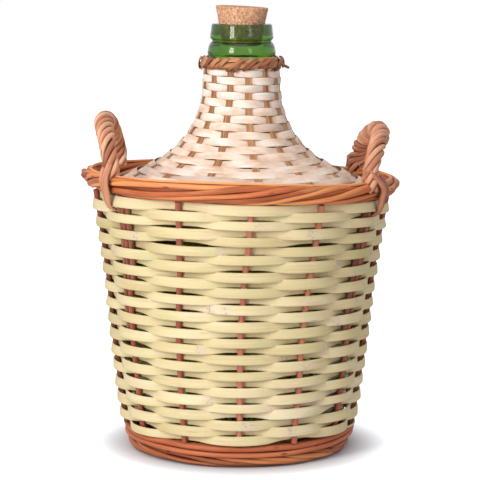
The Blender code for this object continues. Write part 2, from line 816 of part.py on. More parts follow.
def leg_points(rope_end, number, beside, depth):
    """The way of a rod from a rope's end down outside the rim, under a cane and down the wall."""
    ring = wall_ring(WALL_TOP)
    thin = STAKE_RADIUS
    tuck = WALL_TOP
    for place in range(CANE_COUNT * CANE_STEPS, 0, -1):
        low = cane_edges(place)[0].z
        if (place + CANE_START_STAKE - number) % STAKE_COUNT:
            continue
        if place % 2 == 0 and low < WALL_TOP - CANE_PITCH:
            tuck = low + CANE_WIDTH / 2
            break
    aside = beside * (2 * STAKE_RADIUS + GAP)
    azimuth = stake_azimuth(number)
    start = math.atan2(rope_end.x, -rope_end.y)
    turn = math.remainder(azimuth + aside / ring - start, TAU)
    rim_low = ring + RIM_OUTSET
    rim_high = rim_low + RIM_LEAN
    half = RIM_WIDTH / 2
    bend = WRAP_BEND
    wrap = (half + GAP + HANDLE_WRAP_RADIUS) / math.cos(bend / 2)
    past_cane = wall_swing(WALL_TOP, number) + CANE_THICKNESS / 2 + GAP + thin
    points = [
        (
            rim_high + wrap * math.cos(bend),
            WRAP_TURN_SHARES[0],
            RIM_TOP - half + wrap * math.sin(bend),
            HANDLE_WRAP_RADIUS,
        ),
        (rim_high + wrap, WRAP_TURN_SHARES[1], RIM_TOP - half, HANDLE_WRAP_RADIUS),
        (rim_low + wrap, WRAP_TURN_SHARES[2], RIM_LOW + half, HANDLE_WRAP_RADIUS),
        (ring + past_cane, 1, tuck + CANE_PITCH, thin),
        (wall_ring(tuck + CANE_PITCH) + past_cane, 1, tuck, thin),
        (wall_ring(tuck), 1, tuck, thin),
    ]
    way = [
        (spot(radius, start + turn * share, height), size)
        for radius, share, height, size in points
    ]
    low = WALL_TOP - depth
    for step in range(1, LEG_SEGMENTS + 1):
        height = tuck + (low - tuck) * step / LEG_SEGMENTS
        radius = wall_ring(height)
        way.append((spot(radius, azimuth + aside / radius, height), thin))
    return way


def add_handle(name, side):
    line, normal = handle_line(side)
    ends = handle_stakes()
    front, rear = ends[2:] if side > 0 else ends[:2]
    legs = 0
    for number in range(HANDLE_ROD_COUNT):
        strand = [(point, HANDLE_ROD_RADIUS) for point in rope_strand(line, normal, number)]
        for end in (0, -1):
            strand[end] = (strand[end][0], HANDLE_WRAP_RADIUS)
        outer = math.cos(TAU * (number + 0.5) / HANDLE_ROD_COUNT) > 0
        if outer:
            for end, stake in ((0, front), (-1, rear)):
                rope_end = strand[end][0]
                middle = line[end]
                round_way = outward(math.atan2(middle.x, -middle.y) + math.pi / 2)
                beside = 1 if (rope_end - middle).dot(round_way) > 0 else -1
                way = leg_points(rope_end, stake, beside, LEG_DEPTHS[legs])
                strand = way[::-1] + strand if end == 0 else strand + way
            legs += 1
        points = [point for point, _ in strand]
        radii = [size for _, size in strand]
        rod(f"{name}_rod_{number + 1}", points, HANDLE_ROD_RADIUS, TAN_WILLOW, radii)


for old in list(bpy.data.objects):
    bpy.data.objects.remove(old)
carafe = new_collection("Wicker carafe")
cutters = new_collection("Cutters")
add_bottle()
add_cork()
add_wall_stakes()
add_wall_canes()
add_borders()
add_base()
hood = hood_profile()
add_hood_stakes(hood)
add_hood_strips(hood)
add_neck_rod(hood)
add_handle("left_handle", -1)
add_handle("right_handle", 1)
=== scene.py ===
"""The looks of the wicker-covered carafe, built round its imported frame.

The green glass, the cork and every strand of the basket are modelled here over the frame's plainer
solids. Azimuths are measured from the front (-Y) towards +X, and lengths are in metres.
"""

import math
import random

import bpy
import numpy as np
from mathutils import Matrix, Vector, noise


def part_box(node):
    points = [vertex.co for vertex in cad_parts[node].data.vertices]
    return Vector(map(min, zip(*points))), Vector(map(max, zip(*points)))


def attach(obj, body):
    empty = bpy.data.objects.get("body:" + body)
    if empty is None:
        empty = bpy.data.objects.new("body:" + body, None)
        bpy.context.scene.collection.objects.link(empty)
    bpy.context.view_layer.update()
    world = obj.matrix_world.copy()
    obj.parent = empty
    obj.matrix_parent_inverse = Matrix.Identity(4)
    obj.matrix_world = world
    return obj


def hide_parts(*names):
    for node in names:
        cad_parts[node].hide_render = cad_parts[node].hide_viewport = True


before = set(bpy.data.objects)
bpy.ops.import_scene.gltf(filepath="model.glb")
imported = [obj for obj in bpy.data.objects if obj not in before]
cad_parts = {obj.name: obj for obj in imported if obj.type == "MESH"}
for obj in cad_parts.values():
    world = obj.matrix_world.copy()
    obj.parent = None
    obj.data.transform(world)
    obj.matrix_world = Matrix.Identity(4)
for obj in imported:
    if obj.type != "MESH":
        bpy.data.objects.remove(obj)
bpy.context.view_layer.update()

TAU = 2 * math.pi

# The camera, where the photograph was taken from
CAMERA_DISTANCE = 2.400
CAMERA_HEIGHT = 0.575
CAMERA_PITCH = math.radians(8.23)
CAMERA_ROLL = math.radians(0.5)
FOCAL_PIXELS = 2203
IMAGE_SIZE = 480
SENSOR = 0.036

# Sizes that the part's source has too
GAP = 0.0003
STAKE_COUNT = 13
STAKE_RADIUS = 0.0030
CANE_COUNT = 8
CANE_WIDTH = 0.00865
CANE_THICKNESS = 0.0018
CANE_TIP_WIDTH = 0.0022
CANE_PITCH = CANE_WIDTH + GAP
CANE_START_STAKE = 2
SIDE_ROOM = 0.0056
GLASS_WALL = 0.0035
BODY_BOTTOM_RADIUS = 0.1138
BODY_TOP_RADIUS = 0.1435
BODY_SIDE_HEIGHT = 0.231
BODY_FLARE_RATIO = 0.18
HEEL_RADIUS = 0.025
PUNT_DEPTH = 0.014
PUNT_RADIUS = 0.070
SHOULDER_RADIUS = 0.045
SHOULDER_ANGLE = math.radians(25)
NECK_RADIUS = 0.0377
NECK_FLARE_RADIUS = 0.1013
NECK_TOP_RADIUS = 0.0357
NECK_LENGTH = 0.031
COLLAR_RADIUS = 0.0370
COLLAR_HEIGHT = 0.0145
GROOVE_HEIGHT = 0.003
LIP_RADIUS = 0.0345
LIP_TOP_RADIUS = 0.0330
CORK_TOP_RADIUS = 0.0286
CORK_BOTTOM_RADIUS = 0.0205
CORK_BEVEL = 0.0012
HOOD_STAKE_COUNT = 13
HOOD_FRONT_AZIMUTH = math.radians(10)
HOOD_STAKE_THICKNESS = 0.0014
HOOD_STAKE_TOP_WIDTH = 0.0036
HOOD_ROOM = 0.0010
HOOD_NECK_LENGTH = 0.0290
HOOD_RIM_ROOM = 0.0043
HOOD_STRIP_COUNT = 4
HOOD_START_STAKE = -1
HOOD_STRIP_THICKNESS = 0.0010
HOOD_TOP_PITCH_SHARE = 0.80
NECK_ROD_RADIUS = 0.0017
NECK_ROD_LAP_COUNT = 2
FOOT_WIDTH = 0.0174
FOOT_LEAN = 0.0070
FOOT_INSET = 0.0057
RIM_HEIGHT = 0.0222
RIM_WIDTH = 0.0150
RIM_LEAN = 0.0060
RIM_OUTSET = 0.0010
HANDLE_FRONT_AZIMUTH = math.radians(55)
HANDLE_REAR_AZIMUTHS = (math.radians(126), math.radians(131))

# The wall as it shows: how far its rim has sunk, how the stakes lean, and the canes
FRONT_STAKE_AZIMUTH = math.radians(4)
CANE_STEPS = 48
RIM_SAG = 0.0050
RIM_SAG_RIGHT = 0.0038
RIM_SAG_BACK = 0.0050
STAKE_LEAN = math.radians(-3.4)
LEAN_SHARE = 0.62
STAKE_SAMPLES = 48
CANE_OUTER_WIDTH = 0.0106
CANE_CROSS_WIDTH = 0.0099
CANE_INNER_WIDTH = 0.0089
CANE_FACE_THICKNESS = 0.0020
CANE_SWING = 0.0044
CANE_HANDLE_SWING = 0.0056
CANE_SAMPLES_A_STAKE = 8
CANE_END_SHARE = 0.8
CANE_FULLNESS = 0.25
CANE_INNER_LIFT = 0.0015
CANE_TILT = 0.10
NODE_SPACING = 0.40
NODE_REACH = 0.008

# The borders as they show. An upper foot rod has its reach out from the foot's ring, height and radius
BORDER_SAMPLES = 180
BORDER_STRANDS = 7
FOOT_TOP_RODS = (
    (0.0088, 0.0225, 0.0034),
    (0.0084, 0.0160, 0.0031),
    (0.0006, 0.0220, 0.0033),
    (-0.0004, 0.0158, 0.0030),
)
FOOT_TOP_TURNS = 3
FOOT_TOP_PLAY = 0.0016
FOOT_STRAND_RADII = (0.0023, 0.0032)
FOOT_TURNS = 17 / BORDER_STRANDS
FOOT_ROPE_INSET = 0.0010
FOOT_ROPE_SIZE = (FOOT_WIDTH * 0.92, 0.0142)
FOOT_ROPE_LEAN = 0.0020
FOOT_SWAY = 0.05
RIM_STRAND_RADII = (0.0026, 0.0033)
RIM_TURNS = 22 / BORDER_STRANDS
RIM_ROPE_SIZE = (RIM_WIDTH, RIM_HEIGHT - 0.0012)
RIM_SWAY = 0.09
EDGING_WIDTH = 0.0036
EDGING_THICKNESS = 0.0032
EDGING_OUTSET = 0.0010
EDGING_DROP = 0.0020
CURL_AZIMUTHS = (-1.62, -1.40, 1.42, 1.60, 1.80)
CURL_RADII = (0.0026, 0.0032)
CURL_RISES = (-0.002, 0.005)
CURL_SPANS = (0.16, 0.24)
CURL_OUTSET = 0.0020
CURL_BULGE = 0.0058
CURL_SHADE = 0.55
RIM_CORE_SIZE = (RIM_HEIGHT * 0.72, RIM_WIDTH * 0.50)
RIM_CORE_SHADE = 0.15

# The hood as it shows
HOOD_STRIP_STEPS = 60
HOOD_RIB_COUNT = 4
HOOD_RIB_WIDTHS = (0.0064, 0.0084)
HOOD_RIB_THICKNESS = 0.0008
HOOD_RIB_OVERLAP = 1.12
HOOD_RIB_TOP = 0.002
HOOD_CHIP_THICKNESS = 0.0008
HOOD_CHIP_TOP = 0.0040
HOOD_SWING = 0.0011
HOOD_FULLNESS = 0.45
HOOD_FOLD_WIDTHS = (0.0036, 0.0062)
HOOD_FOLD_BOTTOMS = (0.0082, 0.0128)
HOOD_FOLD_THICKNESS = 0.0013
HOOD_BAND_THICKNESS = 0.0014
# Each band has its place down from the hood's top, its distance out, its width and its tilt
HOOD_BANDS = (
    (0.0018, 0.0012, 0.0070, 0.75),
    (0.0062, 0.0040, 0.0060, 0.45),
    (0.0092, 0.0026, 0.0044, -0.30),
)
HOOD_SAMPLES_A_STAKE = 8
STUB_AZIMUTH = math.radians(66)

# The handles as they show, with the left value before the right one
ROOT_DEPTH = 0.014
ROOT_STEPS = 8
ARCH_STEPS = 240
HANDLE_REAR_SHIFTS = (math.radians(-2), math.radians(-4))
HANDLE_SKEWS = (1.15, 1.25)
ROPE_LIFT = 0.0045
ROPE_LEANS = (0.011, 0.0148)
ROPE_LEAN_POWERS = (1.5, 1.7)
ROPE_RISES = (0.045, 0.0360)
ROPE_SAMPLES = 200
ROPE_STRANDS = 5
ROPE_STRAND_RADIUS = 0.0033
ROPE_LAYS = (0.0058, 0.0077)
ROPE_PITCH = 0.060
LEG_DEPTHS = (0.150, 0.100)
LEG_TIP = (0.5, 0.8)
LEG_SHADE = 0.45
WRAP_SPREAD = 1.35
WRAP_RADII = (0.0032, 0.0037)
WRAP_OFFSET = 0.0010
WRAP_STEPS = 6

# The bottle, the cork and the base as they show. The cork's grain and wave have a length and a depth
GROOVE_FACE_RADIUS = 0.0322
LIP_EDGE = 0.0024
COLLAR_BULGE_SHARE = 0.30
BORE_MARGIN = 0.012
GLASS_SEGMENTS = 128
CORK_SLANT_SHARE = 0.045
CORK_SEGMENTS = 144
CORK_ROWS = 36
CORK_GRAIN = (0.0016, 0.00022)
CORK_WAVE = (0.0045, 0.00025)
CORK_PROUD_GRAIN = 0.0001
BASE_RINGS = 15
BASE_EYE = 0.0225
BASE_ROOM = 0.001
BASE_ROD_THICKNESS = 0.0060
BASE_WAVE = 0.0040
BASE_WAVE_COUNT = 15
BASE_SAMPLES = 96
BASE_STICK = (0.0100, 0.0058)
BASE_STICK_PITCH = 0.0108

# The studio: the floor turns white between the two distances; nearer, its weaker glow is a painted
# shadow
FLOOR_SIZE = 12
SHADOW_REACH = (0.115, 0.195)
SKY_STRENGTH = 0.34

# Heights that the frame gives
WALL_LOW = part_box("wall_stake_01")[0].z
WALL_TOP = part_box("wall_stake_01")[1].z
BODY_LOW = WALL_LOW + GAP
CANE_START = WALL_LOW + CANE_TIP_WIDTH - CANE_WIDTH
RIM_LOW = WALL_TOP + GAP
RIM_TOP = RIM_LOW + RIM_HEIGHT
SHOULDER_LOW = BODY_LOW + BODY_SIDE_HEIGHT
SHOULDER_CENTRE_RADIUS = BODY_TOP_RADIUS - SHOULDER_RADIUS
FLARE_CENTRE_RADIUS = NECK_RADIUS + NECK_FLARE_RADIUS
LIP_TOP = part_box("glass_bottle")[1].z
CORK_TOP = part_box("cork_stopper")[1].z
CORK_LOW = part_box("cork_stopper")[0].z
STAKE_TURN = TAU / STAKE_COUNT
HOOD_TURN = TAU / HOOD_STAKE_COUNT
SLOPE_RUN = (
    SHOULDER_CENTRE_RADIUS
    + SHOULDER_RADIUS * math.sin(SHOULDER_ANGLE)
    - FLARE_CENTRE_RADIUS
    + NECK_FLARE_RADIUS * math.sin(SHOULDER_ANGLE)
)
FLARE_TOP = (
    SHOULDER_LOW
    + (SHOULDER_RADIUS + NECK_FLARE_RADIUS) * math.cos(SHOULDER_ANGLE)
    + SLOPE_RUN * math.tan(SHOULDER_ANGLE)
)
NECK_TOP = FLARE_TOP + NECK_LENGTH
LIP_LOW = NECK_TOP + COLLAR_HEIGHT + GROOVE_HEIGHT


def spot(radius, azimuth, height):
    """The point at this radius and height, azimuth radians round from the front."""
    return Vector((radius * math.sin(azimuth), -radius * math.cos(azimuth), height))


def outward(azimuth):
    return spot(1, azimuth, 0)


def once_round(samples):
    """The azimuths of one turn, from the back round to the back."""
    return [math.pi + TAU * step / samples for step in range(samples + 1)]


def wander_round(azimuth, seed, size, rate):
    """A smooth random value that comes back to itself after one turn."""
    around = Vector((rate * math.cos(azimuth), rate * math.sin(azimuth), seed * 7.31))
    return size * 1.6 * noise.noise(around)


def wander(place, seed, size):
    """A smooth random value from about -size to size, along a line."""
    return size * 1.6 * noise.noise(Vector((place, seed * 17.31, seed * 5.77)))


def smooth(low, high, value):
    share = min(max((value - low) / (high - low), 0), 1)
    return share * share * (3 - 2 * share)


def weave(place, fullness):
    """Where a woven strip passes the stakes: 1 in front, -1 behind, the bulges fuller than a wave."""
    side = -math.cos(math.pi * place)
    return side * (1 + fullness - fullness * side * side)


def arc(centre, radius, first, last, count):
    """Points on an arc in the profile plane, both ends included."""
    angles = (first + (last - first) * step / count for step in range(count + 1))
    return [
        (centre[0] + radius * math.cos(angle), centre[1] + radius * math.sin(angle))
        for angle in angles
    ]


# Materials


def rgb(red, green, blue):
    """A colour as an image shows it, from 0 to 255, as the linear colour that shaders take."""
    linear = []
    for value in (red, green, blue):
        value /= 255
        linear.append(value / 12.92 if value <= 0.04045 else ((value + 0.055) / 1.055) ** 2.4)
    return (*linear, 1)


class Nodes:
    """A node tree in the making: each call adds a node and gives its main output."""

    def __init__(self, tree):
        self.tree = tree

    def put(self, node, key, value):
        if isinstance(value, bpy.types.NodeSocket):
            self.tree.links.new(value, node.inputs[key])
        else:
            node.inputs[key].default_value = value

    def node(self, kind, output, inputs, **settings):
        made = self.tree.nodes.new("ShaderNode" + kind)
        for key, value in settings.items():
            setattr(made, key, value)
        for key, value in inputs.items():
            self.put(made, key, value)
        return made.outputs[output]

    def math(self, operation, *values):
        return self.node("Math", 0, dict(enumerate(values)), operation=operation)


class Shader(Nodes):
    """A material, with textures along each strand, or else in the object's own coordinates."""

    def __init__(self, name, strands=True):
        self.material = bpy.data.materials.new(name)
        self.material.use_nodes = True
        super().__init__(self.material.node_tree)
        self.surface = self.tree.nodes["Principled BSDF"]
        if strands:
            self.place = self.attribute("grain", "Vector")
        else:
            self.place = self.node("TexCoord", "Object", {})

    def set(self, key, value):
        self.put(self.surface, key, value)

    def attribute(self, name, output="Fac"):
        return self.node("Attribute", output, {}, attribute_name=name)

    def scaled(self, sizes):
        """The place over these sizes, so that a feature comes out about that large."""
        share = Vector([1 / size for size in sizes])
        return self.node("VectorMath", 0, {0: self.place, 1: share}, operation="MULTIPLY")

    def noise(self, sizes, detail=2, roughness=0.5):
        inputs = {"Scale": 1, "Detail": detail, "Roughness": roughness}
        return self.node("TexNoise", 0, {"Vector": self.scaled(sizes), **inputs})

    def cells(self, sizes, output="Distance", feature="F1"):
        inputs = {"Vector": self.scaled(sizes), "Scale": 1}
        return self.node("TexVoronoi", output, inputs, feature=feature)

    def spread(self, value, low, high, first=0, last=1):
        inputs = {"Value": value, 1: low, 2: high, 3: first, 4: last}
        return self.node("MapRange", 0, inputs, interpolation_type="SMOOTHSTEP")

    def total(self, *parts):
        """The sum of these values, each times its weight."""
        weighted = [self.math("MULTIPLY", value, weight) for value, weight in parts]
        whole = weighted.pop()
        while weighted:
            whole = self.math("ADD", weighted.pop(), whole)
        return whole

    def ramp(self, value, *stops):
        """The colour that goes with a value. A stop is its value and the red, green and blue there."""
        made = self.tree.nodes.new("ShaderNodeValToRGB")
        self.put(made, 0, value)
        elements = made.color_ramp.elements
        while len(elements) < len(stops):
            elements.new(0.5)
        for element, (place, *colour) in zip(elements, stops):
            element.position = place
            element.color = rgb(*colour)
        return made.outputs[0]

    def mix(self, share, body, colour, blend="MIX"):
        inputs = {0: share, 6: body, 7: rgb(*colour)}
        return self.node("Mix", 2, inputs, data_type="RGBA", blend_type=blend)

    def tint(self, body, colour, value, low, high, most):
        """The body's colour, nearer to this one as the value goes from low to high."""
        return self.mix(self.spread(value, low, high, 0, most), body, colour)

    def painted_groove_shade(self, reach, most):
        """How deep a spot lies in a groove between neighbours: painted shade, which darkens the colour
        there.
        """
        near = self.node("AmbientOcclusion", "AO", {"Distance": reach}, samples=8)
        return self.spread(near, 0.30, 0.90, most, 0)

    def finished(self, colour, roughness, height, depth, specular=0.5, strength=1):
        """The material, with this colour and with a relief that is this deep."""
        self.set("Base Color", colour)
        self.set("Roughness", roughness)
        self.set("Specular IOR Level", specular)
        inputs = {"Height": height, "Distance": depth, "Strength": strength}
        self.set("Normal", self.node("Bump", 0, inputs))
        return self.material


def cane_material():
    """Peeled split cane: pale yellow, with fine fibres, greenish stretches and grey-pink nodes."""
    shader = Shader("pale_cane")
    ring = shader.attribute("ring")
    broad = shader.noise((0.16, 0.05, 0.05))
    streak = shader.noise((0.060, 0.0012, 0.0030), 3, 0.6)
    fibre = shader.noise((0.018, 0.00035, 0.0010), 2, 0.6)
    green = shader.noise((0.075, 0.015, 0.02))
    pink = shader.noise((0.050, 0.006, 0.02))
    crack = shader.noise((0.040, 0.0010, 0.01), 1)
    speck = shader.noise((0.0030, 0.0030, 0.003))
    body = shader.ramp(
        shader.total((broad, 0.8), (shader.attribute("tone"), 0.2)),
        (0.26, 208, 188, 132),
        (0.40, 226, 205, 152),
        (0.52, 236, 216, 166),
        (0.64, 243, 222, 178),
        (0.76, 250, 232, 198),
    )
    body = shader.tint(body, (206, 184, 124), streak, 0.54, 0.78, 0.60)
    body = shader.tint(body, (250, 241, 214), streak, 0.46, 0.24, 0.50)
    body = shader.tint(body, (208, 204, 144), green, 0.54, 0.72, 0.50)
    body = shader.tint(body, (228, 184, 146), pink, 0.60, 0.76, 0.50)
    body = shader.tint(body, (150, 108, 64), crack, 0.76, 0.82, 0.65)
    near = shader.math("MULTIPLY", ring, shader.spread(speck, 0.35, 0.60, 0.1, 1))
    body = shader.mix(near, body, (226, 204, 188))
    stain = shader.math("MULTIPLY", ring, shader.spread(speck, 0.48, 0.40, 0, 0.55))
    body = shader.mix(stain, body, (160, 132, 112))
    body = shader.tint(body, (120, 88, 66), ring, 0.90, 1, 0.55)
    # Painted shade: a little darker where the cane passes behind a stake.
    body = shader.mix(shader.attribute("shade"), body, (170, 138, 84), "MULTIPLY")
    relief = shader.total((streak, 0.6), (fibre, 0.4))
    relief = shader.math("SUBTRACT", relief, shader.spread(crack, 0.76, 0.82, 0, 0.5))
    gloss = shader.spread(fibre, 0.2, 0.8, 0.42, 0.62)
    return shader.finished(body, gloss, relief, 0.0006, specular=0.4)


def bark_material(name, dark, middle, light, patch, patch_share):
    """Willow bark: streaked along the rod, with darker scars and here and there another colour."""
    shader = Shader(name)
    broad = shader.noise((0.10, 0.012, 0.012))
    streak = shader.noise((0.030, 0.0012, 0.0012), 3, 0.65)
    fine = shader.noise((0.010, 0.0005, 0.0005), 3, 0.6)
    other = shader.noise((0.055, 0.006, 0.006))
    scar = shader.cells((0.034, 0.009, 0.009))
    value = shader.total((broad, 0.36), (streak, 0.36), (shader.attribute("tone"), 0.28))
    body = shader.ramp(value, (0.28, *dark), (0.50, *middle), (0.70, *light))
    body = shader.tint(body, patch, other, 0.54, 0.72, patch_share)
    body = shader.tint(body, (70, 34, 24), scar, 0.16, 0.05, 0.75)
    # Painted shade: darker by each strand's shade value and in the grooves between strands.
    body = shader.mix(shader.attribute("shade"), body, (110, 60, 40), "MULTIPLY")
    body = shader.mix(shader.attribute("ring"), body, (84, 66, 52))
    body = shader.mix(shader.painted_groove_shade(0.006, 0.72), body, (120, 62, 36), "MULTIPLY")
    relief = shader.total((streak, 0.7), (fine, 0.3))
    relief = shader.math("SUBTRACT", relief, shader.spread(scar, 0.16, 0.05, 0, 0.4))
    gloss = shader.spread(streak, 0.2, 0.8, 0.40, 0.65)
    return shader.finished(body, gloss, relief, 0.0007, specular=0.45)


def chip_material():
    """Split pale wood: nearly white to pinkish strips with fine fibres and browner stretches; painted
    shade browns it too, in stretches and in the grooves.
    """
    shader = Shader("wood_chip")
    broad = shader.noise((0.024, 0.010, 0.05))
    fibre = shader.noise((0.016, 0.00060, 0.001), 3, 0.6)
    body = shader.ramp(
        shader.total((broad, 0.8), (shader.attribute("tone"), 0.2)),
        (0.30, 228, 186, 156),
        (0.43, 246, 216, 193),
        (0.51, 254, 231, 211),
        (0.64, 255, 246, 234),
    )
    body = shader.tint(body, (220, 178, 144), fibre, 0.50, 0.78, 0.50)
    # Painted shade: browner by the strip's shade value and in the grooves between strands.
    body = shader.mix(shader.attribute("shade"), body, (150, 92, 66), "MULTIPLY")
    body = shader.mix(shader.painted_groove_shade(0.003, 0.45), body, (206, 146, 116), "MULTIPLY")
    return shader.finished(body, 0.55, fibre, 0.0004, specular=0.35)


def rib_material():
    """The hood's stakes: brown split willow, strongly striped along its length."""
    shader = Shader("tan_willow_rib")
    stripe = shader.noise((0.050, 0.0008, 0.01), 3, 0.6)
    broad = shader.noise((0.02, 0.004, 0.01))
    body = shader.ramp(
        shader.total((stripe, 0.6), (broad, 0.2), (shader.attribute("tone"), 0.2)),
        (0.30, 118, 70, 36),
        (0.47, 170, 112, 66),
        (0.62, 206, 154, 104),
        (0.78, 230, 188, 142),
    )
    body = shader.mix(shader.attribute("shade"), body, (120, 70, 40), "MULTIPLY")
    return shader.finished(body, 0.6, stripe, 0.0007)


def cork_material():
    """Agglomerated cork: warm grains of many tones with small dark pores."""
    shader = Shader("cork", strands=False)
    grains = shader.node("RGBToBW", 0, {0: shader.cells((0.0017,) * 3, "Color")})
    edge = shader.cells((0.0026,) * 3, feature="DISTANCE_TO_EDGE")
    fine = shader.noise((0.0012,) * 3, 3, 0.6)
    pore = shader.spread(shader.noise((0.0020,) * 3), 0.66, 0.72)
    body = shader.ramp(
        shader.total((grains, 0.6), (fine, 0.4)),
        (0.20, 170, 106, 70),
        (0.42, 214, 156, 118),
        (0.60, 232, 178, 142),
        (0.80, 252, 216, 188),
    )
    body = shader.tint(body, (160, 96, 58), edge, 0.05, 0, 0.35)
    body = shader.mix(shader.math("MULTIPLY", pore, 0.85), body, (112, 62, 36))
    relief = shader.math("SUBTRACT", shader.math("MULTIPLY", fine, 0.5), pore)
    return shader.finished(body, 0.85, relief, 0.0006, specular=0.25)


def glass_material():
    """Green bottle glass, darker where more of it is looked through."""
    shader = Shader("green_glass", strands=False)
    shader.set("IOR", 1.45)
    shader.set("Transmission Weight", 1)
    inputs = {"Color": (0.40, 0.65, 0, 1), "Density": 168}
    inside = shader.node("VolumeAbsorption", 0, inputs)
    shader.put(shader.tree.nodes["Material Output"], "Volume", inside)
    wave = shader.noise((0.020, 0.020, 0.008), 1)
    return shader.finished(rgb(236, 240, 216), 0.01, wave, 0.00006, strength=0.04)


# Each look has its material and its slot
LOOKS = {
    "cane": (cane_material(), "pale_cane"),
    "rib": (rib_material(), "tan_willow"),
    "chip": (chip_material(), "wood_chip"),
    "cork": (cork_material(), "cork"),
    "glass": (glass_material(), "green_glass"),
}
# Each bark has its dark, middle, light and patch colours, and how strong the patches are
BARKS = {
    "stake": ((112, 48, 30), (172, 90, 62), (212, 130, 96), (156, 98, 78), 0.5),
    "rim": ((126, 52, 24), (212, 113, 60), (253, 168, 102), (208, 150, 94), 0.6),
    "foot_top": ((132, 62, 34), (190, 98, 56), (224, 134, 86), (176, 108, 68), 0.4),
    "foot": ((118, 56, 28), (196, 110, 60), (236, 156, 96), (150, 86, 54), 0.5),
    "binding": ((112, 58, 28), (186, 118, 74), (224, 166, 116), (146, 82, 48), 0.6),
}
for look, colours in BARKS.items():
    LOOKS[look] = (bark_material(f"red_willow_{look}", *colours), "red_willow")
TAN_BARK = ((130, 66, 42), (216, 146, 108), (255, 206, 170), (180, 104, 74), 0.6)
LOOKS["handle"] = (bark_material("tan_willow", *TAN_BARK), "tan_willow")


# Strands


def circle(count):
    angles = [TAU * step / count for step in range(count)]
    return [(math.cos(angle), math.sin(angle)) for angle in angles]


def half_round(count, flatness):
    """A section with a bulging outer face, a flatter inner one and rounded edges."""
    points = []
    for side, out in circle(count):
        side = math.copysign(abs(side) ** 0.5, side)
        out = math.copysign(abs(out) ** 0.6, out)
        points.append((side, out if out > 0 else out * flatness))
    return points


class Strand:
    """One strand of this section, laid point by point.

    Its seed sets it off from others in the textures' noise, and its tone in their colours.
    """

    def __init__(self, section, seed, tone):
        self.section = np.array(section, float)
        self.seed = seed
        self.tone = tone
        self.rows = []

    def add(self, point, out, width, thick=None, shade=0, ring=0):
        """The next point of its middle line, with the way that its face looks there."""
        self.rows.append((*point, *out, width, width if thick is None else thick, shade, ring))

    def mesh(self):
        """Its points, and for each where it is along the strand, across it and out of it."""
        rows = np.array(self.rows)
        middles = rows[:, :3]
        along = np.gradient(middles, axis=0)
        along /= np.linalg.norm(along, axis=1)[:, None]
        side = np.cross(along, rows[:, 3:6])
        side /= np.linalg.norm(side, axis=1)[:, None]
        out = np.cross(side, along)
        across = self.section[:, 0] * rows[:, 6:7] / 2
        raised = self.section[:, 1] * rows[:, 7:8] / 2
        points = (
            middles[:, None, :]
            + side[:, None, :] * across[:, :, None]
            + out[:, None, :] * raised[:, :, None]
        )
        steps = np.linalg.norm(np.diff(middles, axis=0), axis=1)
        run = np.concatenate([[0], np.cumsum(steps)]) + self.seed * 7.3
        runs = np.broadcast_to(run[:, None], across.shape)
        grain = np.stack([runs, across, raised], axis=2)
        return points.reshape(-1, 3), grain.reshape(-1, 3)


def sweep(name, strands, look, *nodes):
    """One piece made of strands, which stands for the frame's nodes of these names."""
    points, grains, faces = [], [], []
    shares = {"tone": [], "shade": [], "ring": []}
    start = 0
    for strand in strands:
        verts, grain = strand.mesh()
        rows, count = np.array(strand.rows), len(strand.section)
        points.append(verts)
        grains.append(grain)
        shares["tone"].append(np.full(len(verts), strand.tone))
        shares["shade"].append(np.repeat(rows[:, 8], count))
        shares["ring"].append(np.repeat(rows[:, 9], count))
        row = start + np.arange(len(rows) - 1)[:, None] * count
        step = np.arange(count)[None, :]
        after = (step + 1) % count
        quads = np.stack([row + step, row + after, row + count + after, row + count + step], axis=2)
        end = start + len(verts)
        faces += quads.reshape(-1, 4).tolist()
        faces.append(list(range(start, start + count))[::-1])
        faces.append(list(range(end - count, end)))
        start = end
    mesh = bpy.data.meshes.new(name)
    mesh.from_pydata(np.concatenate(points), [], faces)
    mesh.validate()
    spread = mesh.attributes.new("grain", "FLOAT_VECTOR", "POINT")
    spread.data.foreach_set("vector", np.concatenate(grains).reshape(-1).astype(np.float32))
    for key, values in shares.items():
        spread = mesh.attributes.new(key, "FLOAT", "POINT")
        spread.data.foreach_set("value", np.concatenate(values).astype(np.float32))
    mesh.shade_smooth()
    mesh.set_sharp_from_angle(angle=math.radians(50))
    place_piece(name, mesh, look, "carafe", *nodes)


def place_piece(name, mesh, look, body, *nodes):
    """The mesh as a visible piece, on its body, with its look's material and for these nodes."""
    material, slot = LOOKS[look]
    mesh.materials.append(material)
    made = bpy.data.objects.new(name, mesh)
    bpy.context.scene.collection.objects.link(made)
    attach(made, body)
    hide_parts(*nodes)


# Basket wall


def side_radius(height):
    """The bottle's outer radius on its side."""
    share = (height - BODY_LOW) / BODY_SIDE_HEIGHT
    inside = min(max(share, 0), 1)
    swell = (BODY_TOP_RADIUS - BODY_BOTTOM_RADIUS) * (3 - 2 * inside) * inside**2
    flare = BODY_FLARE_RATIO * BODY_SIDE_HEIGHT
    ends = flare * inside * (1 - inside) * (1 - 2 * inside)
    return BODY_BOTTOM_RADIUS + swell + ends + flare * (share - inside)


def wall_ring(height):
    """The radius of the stakes' middles."""
    return side_radius(height) + SIDE_ROOM + STAKE_RADIUS + GAP + CANE_THICKNESS


def sag(azimuth, height):
    """How far the basket has sunk here: its rim lies lower at its right and at its back."""
    share = min(max((height - WALL_LOW) / (RIM_TOP - WALL_LOW), 0), 1)
    tilt = RIM_SAG + RIM_SAG_RIGHT * math.sin(azimuth) - RIM_SAG_BACK * math.cos(azimuth)
    return tilt * share**1.5


def basket_spot(radius, azimuth, height):
    """A point of the basket, sunk as the basket is there."""
    return spot(radius, azimuth, height - sag(azimuth, height))


def stake_azimuth(number, height):
    """Where a stake stands at this height. It leans as it goes down from the rim."""
    lean = STAKE_LEAN * smooth(0, LEAN_SHARE, (WALL_TOP - height) / (WALL_TOP - WALL_LOW))
    return FRONT_STAKE_AZIMUTH + number * STAKE_TURN + lean


